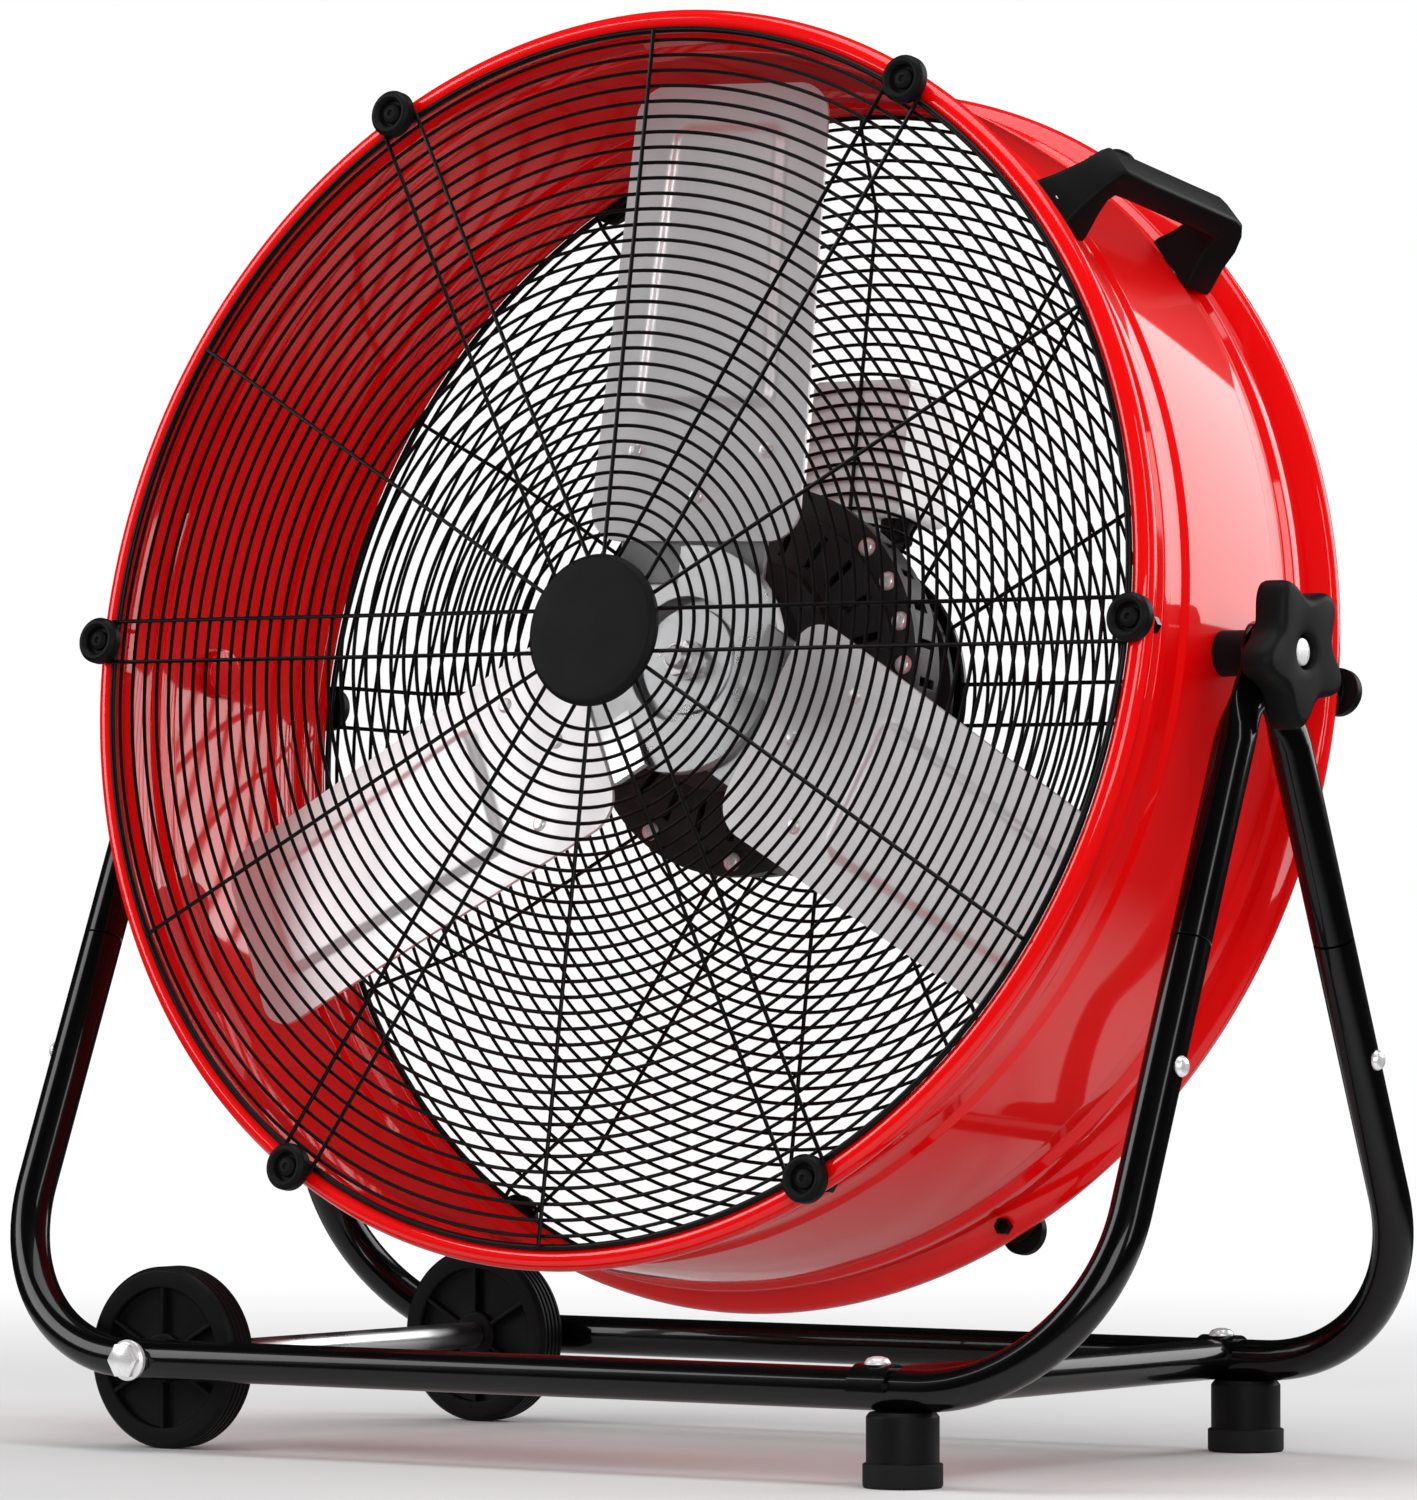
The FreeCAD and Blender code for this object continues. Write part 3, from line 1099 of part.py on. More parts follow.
def crossbar():
    """Tube between the two frames at the foot end, with a half-round saddle over each bottom tube."""
    height, depth, x = size("tube_height"), size("frame_half_depth"), size("crossbar_x")
    radius, wall = size("tube_radius"), size("saddle_wall")
    bar = along_y(radius, x, height, -depth, depth)
    half = size("saddle_half_width")
    for sign in (-1, 1):
        ring = Part.makeCylinder(
            radius + wall, 2 * half, FreeCAD.Vector(x - half, sign * depth, height), FreeCAD.Vector(1, 0, 0)
        )
        top = Part.makeBox(2 * half, 40, 20, FreeCAD.Vector(x - half, sign * depth - 20, height - 1))
        bar = bar.fuse(ring.common(top))
    for sign in (-1, 1):
        seat = Part.makeCylinder(
            radius + 0.02, 60, FreeCAD.Vector(x - 30, sign * depth, height), FreeCAD.Vector(1, 0, 0)
        )
        beyond = Part.makeBox(
            60, 30, 30, FreeCAD.Vector(x - 30, depth if sign > 0 else -depth - 30, height - 31)
        )
        hole = Part.makeCylinder(
            size("saddle_screw_radius") + 0.05, 30, FreeCAD.Vector(x, sign * depth, height)
        )
        bar = bar.cut(seat).cut(beyond).cut(hole)
    bar = bar.cut(along_y(radius - size("tube_wall"), x, height, -depth + radius, depth - radius))
    feature_of("crossbar", [bar], STAND)

    screw = domed_screw(size("saddle_screw_radius"), size("saddle_screw_head"), 3.4, 8.0)
    at = height + radius + wall
    feature_of("crossbar_screws", [placed(screw, x, sign * depth, at) for sign in (-1, 1)], STAND)


def axle():
    """Long axle bolt through both frames, its nut, the washers and the distance tube between the wheels."""
    x, height = -size("wheel_x"), size("tube_height")
    outside = size("frame_half_depth") + size("tube_radius")
    seat = outside + size("washer_thick")
    head = size("axle_head_thick")
    low, high = -seat - head, seat + head + 2

    def hexagon(start, end):
        points = [FreeCAD.Vector(x, start, height) + polar_point(9.8, 60 * k) for k in range(7)]
        return Part.Face(Part.makePolygon(points)).extrude(FreeCAD.Vector(0, end - start, 0))

    flange = along_y(size("axle_head_radius"), x, height, -seat - 2.2, -seat)
    bolt = flange.fuse(hexagon(low, -seat)).fuse(along_y(size("axle_radius"), x, height, -seat, high))
    feature_of("axle_bolt", [bolt], STAND)
    nut = along_y(size("axle_head_radius"), x, height, seat, seat + 2.2).fuse(hexagon(seat, seat + head))
    nut = nut.cut(along_y(size("axle_radius"), x, height, seat - 1, high))
    feature_of("axle_nut", [nut], STAND)
    washers = []
    for start in (-seat, outside):
        ring = along_y(size("washer_radius"), x, height, start, start + size("washer_thick"))
        washers.append(ring.cut(along_y(size("axle_radius"), x, height, start - 1, start + 3)))
    feature_of("axle_washers", washers, STAND)
    reach = size("wheel_plane") - size("wheel_half_width") - 0.35
    sleeve = along_y(size("axle_tube_radius"), x, height, -reach, reach)
    sleeve = sleeve.cut(along_y(size("axle_radius"), x, height, -reach - 1, reach + 1))
    feature_of("axle_tube", [sleeve], STAND)


def wheel(label, sign):
    """Moulded wheel with a grooved tread and, in each face, a recess crossed by thin spokes."""
    body = new_body("Wheel" + label.capitalize())
    profile = new_sketch(body, "XY_Plane", "WheelProfile")
    bore = "axle_radius + axle_fit"
    half, outer, rim, hub = "wheel_half_width", "wheel_radius", "wheel_recess_radius", "wheel_hub_radius"
    deep = "wheel_recess_depth"
    tread = [(f"{outer} - 1.5", f"0 - {half}"), (outer, f"1.5 - {half}")]
    for k in range(4):
        groove = f"(0.4 * (2 * {k} - 3) * {half} / 2)"
        tread += [(outer, f"{groove} - 0.7"), (f"{outer} - 1.2", f"{groove} - 0.7"),
                  (f"{outer} - 1.2", f"{groove} + 0.7"), (outer, f"{groove} + 0.7")]
    tread += [(outer, f"{half} - 1.5"), (f"{outer} - 1.5", half)]
    polygon(profile, [
        (bore, f"0 - {half}"), (hub, f"0 - {half}"), (hub, f"{deep} - {half}"), (rim, f"{deep} - {half}"),
        (rim, f"0 - {half}"), *tread, (rim, half), (rim, f"{half} - {deep}"), (hub, f"{half} - {deep}"),
        (hub, half), (bore, half),
    ])
    revolved(body, profile)
    spoke = new_sketch(body, "XZ_Plane", "Spoke")
    rectangle(spoke, f"{hub} - 1", f"{rim} + 1", "-1.2", "1.2")
    rib = extruded(body, spoke, f"2 * {half} - 2", midplane=True)
    polar(body, rib, "Y_Axis", 6)
    turned = FreeCAD.Rotation(FreeCAD.Vector(0, 1, 0), -30)
    centre = FreeCAD.Vector(-size("wheel_x"), sign * size("wheel_plane"), size("wheel_radius"))
    finished(body, f"wheel_{label}", STAND.multiply(FreeCAD.Placement(centre, turned)))


def foot(label, sign):
    """Short turned post under a bottom tube, in a soft cup."""
    to_z = FreeCAD.Placement(
        FreeCAD.Vector(size("foot_x"), sign * size("frame_half_depth"), 0),
        FreeCAD.Rotation(FreeCAD.Vector(1, 0, 0), 90),
    )
    post = new_body("FootPost" + label.capitalize())
    profile = new_sketch(post, "XY_Plane", "PostProfile")
    polygon(profile, [
        ("0", "3"), ("foot_radius", "3"), ("foot_radius", "tube_height - tube_radius - 1.5"),
        ("foot_radius - 1.5", "tube_height - tube_radius"), ("0", "tube_height - tube_radius"),
    ])
    revolved(post, profile)
    finished(post, f"foot_post_{label}", STAND.multiply(to_z))
    boot = new_body("FootBoot" + label.capitalize())
    cup = new_sketch(boot, "XY_Plane", "BootProfile")
    polygon(cup, [
        ("0", "0"), ("foot_boot_radius - 1", "0"), ("foot_boot_radius", "1"),
        ("foot_boot_radius", "foot_boot_height"), ("foot_radius", "foot_boot_height"),
        ("foot_radius", "3"), ("0", "3"),
    ])
    revolved(boot, cup)
    finished(boot, f"foot_boot_{label}", STAND.multiply(to_z))


# ---------------------------------------------------------------- build and write

def build_all():
    drum_shell()
    front_guard()
    rear_guard()
    front_cap()
    clips()
    for place, degrees in enumerate(BLADE_ANGLES, start=1):
        blade(place, degrees)
    blade_spider()
    rivets()
    blade_hub()
    motor_shaft()
    hub_nut()
    motor_front_bell()
    motor_rear_can()
    motor_flange_screws()
    stator()
    rotor_core()
    bearings()
    motor_mount()
    control_box()
    speed_dial()
    handle()
    pivots()
    knobs()
    stand_frames()
    leg_screws()
    crossbar()
    axle()
    wheel("front", -1)
    wheel("rear", 1)
    foot("front", -1)
    foot("rear", 1)


def write_all():
    os.makedirs("parts", exist_ok=True)
    for node in nodes:
        shape = node.Shape
        if shape.isNull() or not shape.isValid():
            raise RuntimeError(f"{node.Label} has no valid shape")
        shape.exportStep(os.path.join("parts", node.Label + ".step"))
        box = shape.BoundBox
        print(f"{node.Label:22s} solids {len(shape.Solids):3d} volume {shape.Volume / 1000:9.2f} cm3 "
              f"x {box.XMin:8.2f} {box.XMax:8.2f} y {box.YMin:8.2f} {box.YMax:8.2f} "
              f"z {box.ZMin:8.2f} {box.ZMax:8.2f}")


build_all()
doc.recompute()
for thing in doc.Objects:
    if "Invalid" in thing.State or "Error" in thing.State:
        raise RuntimeError(f"{thing.Label} did not build: {thing.State}")
write_all()
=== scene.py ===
import json
import math

import bmesh
import bpy
from mathutils import Matrix, Vector


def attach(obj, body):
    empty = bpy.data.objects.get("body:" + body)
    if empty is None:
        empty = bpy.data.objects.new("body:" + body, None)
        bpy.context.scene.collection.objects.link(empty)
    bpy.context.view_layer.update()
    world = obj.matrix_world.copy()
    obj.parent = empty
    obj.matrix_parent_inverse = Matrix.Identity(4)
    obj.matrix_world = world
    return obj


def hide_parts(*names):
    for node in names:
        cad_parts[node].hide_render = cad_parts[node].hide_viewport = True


# Tilting drum fan on a wheeled tube stand. Lengths are written in millimetres and scaled to metres when a
# mesh is made. Head pieces are drawn in the head's frame: origin on the tilt axis, Y along the drum with
# its front towards -Y. Stand pieces are drawn on the floor frame, with Y = 0 below the tilt axis.

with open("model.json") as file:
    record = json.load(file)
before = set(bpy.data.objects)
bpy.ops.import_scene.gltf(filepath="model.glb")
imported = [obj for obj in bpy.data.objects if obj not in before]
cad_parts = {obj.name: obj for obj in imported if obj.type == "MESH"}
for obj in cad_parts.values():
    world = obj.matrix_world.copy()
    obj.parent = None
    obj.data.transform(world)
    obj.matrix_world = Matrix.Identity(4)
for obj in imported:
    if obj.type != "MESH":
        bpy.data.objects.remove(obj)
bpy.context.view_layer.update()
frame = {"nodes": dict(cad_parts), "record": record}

JOINTS = {joint["name"]: joint for joint in frame["record"]["behaviour"]["joints"]}
PIVOT = Vector(JOINTS["head_tilt"]["pos_m"])
SPIN = Vector(JOINTS["rotor_spin"]["axis"])
TILT = math.atan2(SPIN.z, -SPIN.y)

MM = Matrix.Diagonal((0.001, 0.001, 0.001, 1.0))
STAND = Matrix.Translation((0.0, PIVOT.y, 0.0)) @ MM
HEAD = Matrix.Translation(PIVOT) @ Matrix.Rotation(-TILT, 4, "X") @ MM
HALF_TURN = Matrix.Rotation(math.pi, 4, "X")

# Stand
PIVOT_HEIGHT = 1000 * PIVOT.z
TUBE_R = 10.5
LEG_PLANE = 341.0
TUBE_HEIGHT = 47.4
FRAME_HALF_DEPTH = 161.4
PLATE_HALF_GAP = 8.0
LEAN = math.atan((FRAME_HALF_DEPTH - PLATE_HALF_GAP) / (PIVOT_HEIGHT - TUBE_HEIGHT))
BEND_R = 96.0
SHOULDER_HEIGHT, LEG_SCREW_HEIGHT = 265.0, 205.0
FOOT_X, SADDLE_X = 233.6, 219.0
WHEEL_R, WHEEL_HALF_WIDTH, WHEEL_OFFSET = 47.4, 9.8, 137.0

# Drum and guards
RIM_R, BEAD_R, SKIN_R, SHEET = 328.0, 6.0, 316.0, 1.5
DRUM_FRONT, DRUM_BACK = -89.5, 101.5
FRONT_RINGS, FRONT_WIRES = -90.0, -92.1
GUARD_FACE_BACK = 102.0
WIRE_LIFT, HOOP_LIFT = 2.1, 2.8
HOOP_R, CLIP_CIRCLE = 316.4, 322.5
DISH = 22.0
RING_FIRST, RING_PITCH, RING_COUNT, DISH_RINGS, REAR_FIRST = 50.7, 8.13, 33, 5, 3
RING_LAST = RING_FIRST + RING_PITCH * (RING_COUNT - 1)
RING_WIRE, HOOP_WIRE, SPOKE_R, LOOP_HALF = 2.0, 3.4, 1.1, 11

# Blades
BLADE_ANGLES = (90.0, 210.0, 330.0)
BLADE_PITCH = math.radians(8.0)
BLADE_OFFSET = -15.0
BLADE_ROOT, BLADE_TIP, BLADE_CORNER = 62.0, 306.0, 18.0
RIVET_SEATS = ((86.0, 0.0), (110.0, 38.0), (110.0, -38.0))

# Fittings
HANDLE_ANGLE = 42.0
KNOB_START, KNOB_END, KNOB_TURN = 345.4, 367.4, math.radians(55.0)
FLANGE_SCREW_ANGLES = (4, 18, 32, 46, 100, 134, 168, 202, 236, 270, 304, 338)
FLANGE_SCREW_CIRCLE, FLANGE_FACE = 96.6, 47.0


# ---------------------------------------------------------------- materials

def shader(name, color, roughness, metallic=0.0, coat=0.0, specular=0.5):
    material = bpy.data.materials.new(name)
    material.use_nodes = True
    base = material.node_tree.nodes["Principled BSDF"]
    base.inputs["Base Color"].default_value = (*color, 1.0)
    base.inputs["Roughness"].default_value = roughness
    base.inputs["Metallic"].default_value = metallic
    base.inputs["Coat Weight"].default_value = coat
    base.inputs["Coat Roughness"].default_value = 0.04
    base.inputs["Specular IOR Level"].default_value = specular
    return material, base


def noise(material, scale, detail=4.0, stretch=(1.0, 1.0, 1.0)):
    nodes, links = material.node_tree.nodes, material.node_tree.links
    place = nodes.new("ShaderNodeTexCoord")
    mapping = nodes.new("ShaderNodeMapping")
    mapping.inputs["Scale"].default_value = stretch
    texture = nodes.new("ShaderNodeTexNoise")
    texture.inputs["Scale"].default_value = scale
    texture.inputs["Detail"].default_value = detail
    links.new(place.outputs["Object"], mapping.inputs["Vector"])
    links.new(mapping.outputs["Vector"], texture.inputs["Vector"])
    return texture.outputs["Fac"]


def ramped(material, source, low, high, socket, start=0.3, end=0.7):
    """Drives a shader socket between two values with a noise source."""
    nodes, links = material.node_tree.nodes, material.node_tree.links
    spread = nodes.new("ShaderNodeMapRange")
    spread.inputs["From Min"].default_value = start
    spread.inputs["From Max"].default_value = end
    spread.inputs["To Min"].default_value = low
    spread.inputs["To Max"].default_value = high
    links.new(source, spread.inputs["Value"])
    links.new(spread.outputs["Result"], socket)


def tinted(material, source, dark, light, socket):
    """Colour that wanders a little between two close shades."""
    nodes, links = material.node_tree.nodes, material.node_tree.links
    ramp = nodes.new("ShaderNodeValToRGB")
    ramp.color_ramp.elements[0].position = 0.3
    ramp.color_ramp.elements[1].position = 0.7
    ramp.color_ramp.elements[0].color = (*dark, 1.0)
    ramp.color_ramp.elements[1].color = (*light, 1.0)
    links.new(source, ramp.inputs["Fac"])
    links.new(ramp.outputs["Color"], socket)


def bumped(material, base, source, strength, distance):
    nodes, links = material.node_tree.nodes, material.node_tree.links
    bump = nodes.new("ShaderNodeBump")
    bump.inputs["Strength"].default_value = strength
    bump.inputs["Distance"].default_value = distance
    links.new(source, bump.inputs["Height"])
    links.new(bump.outputs["Normal"], base.inputs["Normal"])


def finish_of(name, color, roughness, spread=0.06, shade=0.12, grain=900.0, depth=0.00004,
              strength=0.3, stretch=(1.0, 1.0, 1.0), **more):
    """A finish whose colour and roughness wander a little, over a fine surface grain."""
    material, base = shader(name, color, roughness, **more)
    wander = noise(material, 9.0)
    dark = [value * (1 - shade) for value in color]
    light = [min(1.0, value * (1 + shade)) for value in color]
    tinted(material, wander, dark, light, base.inputs["Base Color"])
    patches = noise(material, 35.0, stretch=stretch)
    ramped(material, patches, roughness - spread, roughness + spread, base.inputs["Roughness"])
    bumped(material, base, noise(material, grain, 3.0, stretch), strength, depth)
    return material


RED = finish_of("red_enamel", (0.70, 0.0008, 0.0014), 0.42, spread=0.03, shade=0.03, grain=55.0,
                depth=0.00002, strength=0.1, coat=0.9, specular=0.04)
BLACK_PAINT = finish_of("black_enamel", (0.0014, 0.0014, 0.0016), 0.24, spread=0.03, shade=0.2,
                        grain=120.0, depth=0.00002, strength=0.1, coat=0.45, specular=0.1)
WIRE = finish_of("black_wire", (0.002, 0.002, 0.002), 0.34, spread=0.06, shade=0.3, grain=1500.0,
                 specular=0.15)
PLASTIC = finish_of("black_plastic", (0.004, 0.004, 0.0044), 0.48, shade=0.2, grain=1400.0,
                    depth=0.00006, strength=0.4, specular=0.1)
SOFT_BLACK = finish_of("soft_black", (0.006, 0.006, 0.006), 0.5, shade=0.2, grain=1600.0,
                       depth=0.00006, strength=0.4, specular=0.08)
GREY_PLASTIC = finish_of("grey_plastic", (0.85, 0.85, 0.86), 0.5, shade=0.1, grain=1300.0,
                         depth=0.00006, strength=0.4)
MOTOR = finish_of("motor_paint", (0.014, 0.014, 0.015), 0.4, shade=0.2, grain=900.0, depth=0.00006,
                  strength=0.4)
BLADE = finish_of("blade_aluminium", (0.80, 0.785, 0.80), 0.42, spread=0.06, shade=0.04, grain=500.0,
                  depth=0.00003, strength=0.2, stretch=(1.0, 1.0, 0.12), metallic=0.6)
STEEL = finish_of("grey_steel", (0.56, 0.56, 0.57), 0.32, spread=0.08, shade=0.06, metallic=1.0)
ZINC = finish_of("bright_zinc", (0.90, 0.90, 0.91), 0.28, spread=0.06, shade=0.05, metallic=0.6)
COPPER = finish_of("wound_copper", (0.70, 0.30, 0.12), 0.38, grain=2200.0, depth=0.0002,
                   strength=0.8, metallic=1.0)
RUBBER = finish_of("foot_rubber", (0.009, 0.009, 0.009), 0.65, shade=0.25, grain=1100.0,
                   depth=0.0001, strength=0.5, specular=0.1)

SLOT_FINISH = {
    "red_paint": RED, "black_paint": BLACK_PAINT, "black_wire": WIRE, "black_plastic": PLASTIC,
    "grey_plastic": GREY_PLASTIC, "dark_motor": MOTOR, "blade_aluminium": BLADE, "steel": STEEL,
    "zinc": ZINC, "copper": COPPER, "rubber": RUBBER,
}


# ---------------------------------------------------------------- mesh helpers

def made(name, shape, place, body, slot, material=None, *, sharp=35.0, stands_for):
    """A mesh piece in its place, riding on a body, with its finish and the CAD nodes it stands for."""
    mesh = bpy.data.meshes.new(name)
    mesh.from_pydata([place @ Vector(v) for v in shape.verts], [], shape.faces)
    mesh.validate()
    mesh.polygons.foreach_set("use_smooth", [True] * len(mesh.polygons))
    mesh.set_sharp_from_angle(angle=math.radians(sharp))
    piece = bpy.data.objects.new(name, mesh)
    bpy.context.collection.objects.link(piece)
    mesh.materials.append(material or SLOT_FINISH[slot])
    outward(mesh)
    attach(piece, body)
    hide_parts(*stands_for)


def outward(mesh):
    """Turns every face of a closed mesh outwards."""
    work = bmesh.new()
    work.from_mesh(mesh)
    bmesh.ops.recalc_face_normals(work, faces=work.faces)
    work.to_mesh(mesh)
    work.free()


class Shape:
    """Vertices and faces of a growing mesh."""

    def __init__(self):
        self.verts = []
        self.faces = []

    def add(self, verts, faces, place=None):
        first = len(self.verts)
        self.verts += [place @ Vector(v) if place else Vector(v) for v in verts]
        self.faces += [tuple(first + i for i in face) for face in faces]
        return self

    def join(self, other, place=None):
        return self.add(other.verts, other.faces, place)


def loft(rows, loop=False):
    """Skin over closed rows of points. With loop the last row joins the first, or else both are capped."""
    shape = Shape()
    count = len(rows[0])
    verts = [p for row in rows for p in row]
    faces = []
    spans = len(rows) if loop else len(rows) - 1
    for i in range(spans):
        j = (i + 1) % len(rows)
        for k in range(count):
            m = (k + 1) % count
            faces.append((i * count + k, i * count + m, j * count + m, j * count + k))
    if not loop:
        faces.append(tuple(range(count)))
        faces.append(tuple((len(rows) - 1) * count + k for k in range(count)))
    return shape.add(verts, faces)


def rounded(points, closed=True, steps=5):
    """A polyline of (x, y, radius) corners, with each corner drawn as an arc of its radius."""
    out = []
    count = len(points)
    for i, (x, y, radius) in enumerate(points):
        here = Vector((x, y))
        if radius <= 0 or (not closed and i in (0, count - 1)):
            out.append((x, y))
            continue
        before = Vector(points[i - 1][:2]) - here
        after = Vector(points[(i + 1) % count][:2]) - here
        half = before.angle(after) / 2
        trim = min(radius / math.tan(half), 0.49 * before.length, 0.49 * after.length)
        start = here + before.normalized() * trim
        end = here + after.normalized() * trim
        for k in range(steps + 1):
            t = k / steps
            out.append(tuple((1 - t) ** 2 * start + 2 * t * (1 - t) * here + t * t * end))
    return out


def lathe(profile, segments):
    """Turns a closed (radius, y) outline about Y; points on the axis are kept a hair off it."""
    rows = []
    for k in range(segments):
        a = 2 * math.pi * k / segments
        c, s = math.cos(a), math.sin(a)
        rows.append([Vector((max(r, 0.01) * c, y, max(r, 0.01) * s)) for r, y in profile])
    return loft(rows, loop=True)


def tube(path, radius, sides):
    """A round tube along a path of points, with no twist."""
    turns = [2 * math.pi * k / sides for k in range(sides)]
    rows = []
    side = None
    for i, point in enumerate(path):
        ahead = path[min(i + 1, len(path) - 1)]
        behind = path[max(i - 1, 0)]
        along = (Vector(ahead) - Vector(behind)).normalized()
        if side is None:
            side = along.orthogonal().normalized()
        side = (side - along * side.dot(along)).normalized()
        up = along.cross(side)
        rows.append([Vector(point) + radius * (math.cos(a) * side + math.sin(a) * up) for a in turns])
    return loft(rows)


def ring(radius, wire, y, segments, sides):
    """A wire ring about the drum's axis."""
    turns = [2 * math.pi * k / sides for k in range(sides)]
    return lathe([(radius + wire / 2 * math.cos(a), y + wire / 2 * math.sin(a)) for a in turns], segments)


def spin(degrees):
    """A turn about the drum's axis, counted from +X towards +Z."""
    return Matrix.Rotation(math.radians(-degrees), 4, "Y")


def arc(centre, radius, start, end, steps):
    """Points on an arc in the XZ plane, with its angles in degrees."""
    points = []
    for k in range(steps + 1):
        a = math.radians(start + (end - start) * k / steps)
        points.append(Vector(centre) + Vector((radius * math.cos(a), 0, radius * math.sin(a))))
    return points


def smooth_step(value):
    value = min(max(value, 0.0), 1.0)
    return value * value * (3 - 2 * value)


# ---------------------------------------------------------------- drum

def drum():
    """Thin barrel with two ribs and a raised centre panel, rolled into a round bead at each rim."""
    middle = (DRUM_FRONT + DRUM_BACK) / 2
    rib, panel = SKIN_R + 3.5, SKIN_R + 2.5
    outer = [(SKIN_R, DRUM_FRONT + 15, 6), (SKIN_R, middle - 70, 2), (rib, middle - 66.5, 2),
             (rib, middle - 60.5, 2), (SKIN_R, middle - 57, 2), (SKIN_R, middle - 45, 2),
             (panel, middle - 41, 2), (panel, middle + 41, 2), (SKIN_R, middle + 45, 2),
             (SKIN_R, middle + 57, 2), (rib, middle + 60.5, 2), (rib, middle + 66.5, 2),
             (SKIN_R, middle + 70, 2), (SKIN_R, DRUM_BACK - 15, 6)]
    front_bead = bead(DRUM_FRONT + BEAD_R, -1)
    back_bead = bead(DRUM_BACK - BEAD_R, 1)
    inner = [(r - SHEET, y, radius) for r, y, radius in reversed(outer)]
    profile = rounded(outer, closed=False) + back_bead + rounded(inner, closed=False) + front_bead
    made("barrel", lathe(profile, 288), HEAD, "head", "red_paint", sharp=50, stands_for=["drum_shell"])


def bead(y, sign):
    """The rolled rim's round section, entered and left on the drum's side."""
    start = 150 if sign > 0 else -25
    turns = [math.radians(start - 305 * k / 24) for k in range(25)]
    return [(RIM_R - BEAD_R + BEAD_R * math.sin(turn), y + BEAD_R * math.cos(turn)) for turn in turns]


# ---------------------------------------------------------------- guards

def rear_depth(radius):
    """How far the rear guard has bulged out at a radius."""
    share = (RING_LAST - radius) / (DISH_RINGS * RING_PITCH)
    return DISH * min(max(share, 0.0), 1.0)


def guard_rings(name, first, face, hoop_y, dished):
    """Concentric wire rings and the thicker hoop inside the rim."""
    shape = Shape()
    for k in range(first, RING_COUNT):
        radius = RING_FIRST + RING_PITCH * k
        y = face + (rear_depth(radius) if dished else 0.0)
        shape.join(ring(radius, RING_WIRE, y, 96 + 4 * k, 8))
    shape.join(ring(HOOP_R, HOOP_WIRE, hoop_y, 256, 12))
    made(name + "_wire_rings", shape, HEAD, "head", "black_wire", stands_for=[name + "_rings"])


def guard_wires(name, stations):
    """Six single wires and six hairpin loops, through (radius, y) stations and bent a little at each."""
    shape = Shape()
    bent = rounded([(x, y, 8) for x, y in stations], closed=False, steps=4)
    single = tube([Vector((x, y, 0)) for x, y in bent], SPOKE_R, 10)
    leg = [Vector((x, y, -LOOP_HALF)) for x, y in bent]
    end_x, end_y = bent[-1]
    turn = arc((end_x, end_y, 0), LOOP_HALF, -90, 90, 16)[1:-1]
    back = [Vector((x, y, LOOP_HALF)) for x, y in reversed(bent)]
    loop = tube(leg + turn + back, SPOKE_R, 10)
    for k in range(6):
        shape.join(single, spin(30 + 60 * k))
        shape.join(loop, spin(60 * k))
    made(name + "_wire_spokes", shape, HEAD, "head", "black_wire", stands_for=[name + "_wires"])


def guards():
    """Flat front guard, and a rear guard dished outwards."""
    guard_rings("front_guard", 0, FRONT_RINGS, FRONT_WIRES + HOOP_LIFT, False)
    guard_wires("front_guard", [(30.0, FRONT_WIRES), (316.0, FRONT_WIRES)])
    hoop = GUARD_FACE_BACK + WIRE_LIFT - HOOP_LIFT
    guard_rings("rear_guard", REAR_FIRST, GUARD_FACE_BACK, hoop, True)
    bend = RING_LAST - DISH_RINGS * RING_PITCH
    inner = RING_FIRST + RING_PITCH * REAR_FIRST - 2.0
    edge, flat = GUARD_FACE_BACK + WIRE_LIFT, GUARD_FACE_BACK + DISH + WIRE_LIFT
    guard_wires("rear_guard", [(inner, flat), (bend, flat), (RING_LAST, edge), (316.0, edge)])


def cap():
    back = FRONT_WIRES - 1.1
    profile = rounded([(0, back, 0), (39.5, back, 0.3), (39.5, back - 2.6, 0.8), (37.4, back - 4.4, 0.8),
                       (36.2, back - 4.6, 0.5), (30, back - 4.8, 4), (0, back - 5.0, 0)])
    shape = lathe(profile, 128)
    made("cap_disc", shape, HEAD, "head", "black_plastic", SOFT_BLACK, stands_for=["front_cap"])


def clips():
    """Moulded washers around both rims, each with a dished seat, a black screw and its shank."""
    washer = lathe(rounded([(2.6, 0, 0.2), (12.3, 0, 0.3), (12.3, 5.0, 2.4), (10.4, 7.0, 1.2),
                            (8.6, 7.0, 0.7), (7.3, 5.2, 0.8), (7.1, 2.5, 0.4), (2.6, 2.5, 0.2)]), 48)
    screw = lathe(rounded([(0, 2.5, 0), (5.4, 2.5, 0.4), (5.2, 4.4, 1.2), (3.0, 5.4, 1.5),
                           (1.9, 5.5, 0.2), (1.4, 4.3, 0.2), (0, 4.3, 0)]), 32)
    shank = lathe([(0, 2.5), (2.5, 2.5), (2.5, -17.3), (0, -17.5)], 24)
    washers, screws = Shape(), Shape()
    for y, face in ((FRONT_WIRES - 1.1, HALF_TURN), (GUARD_FACE_BACK + 3.2, Matrix.Identity(4))):
        for k in range(6):
            place = spin(60 * k) @ Matrix.Translation((CLIP_CIRCLE, y, 0)) @ face
            washers.join(washer, place)
            screws.join(screw, place)
            screws.join(shank, place)
    made("rim_washers", washers, HEAD, "head", "black_plastic", stands_for=["clip_washers"])
    made("rim_screws", screws, HEAD, "head", "black_plastic", SOFT_BLACK, stands_for=["clip_screws"])


# ---------------------------------------------------------------- blades

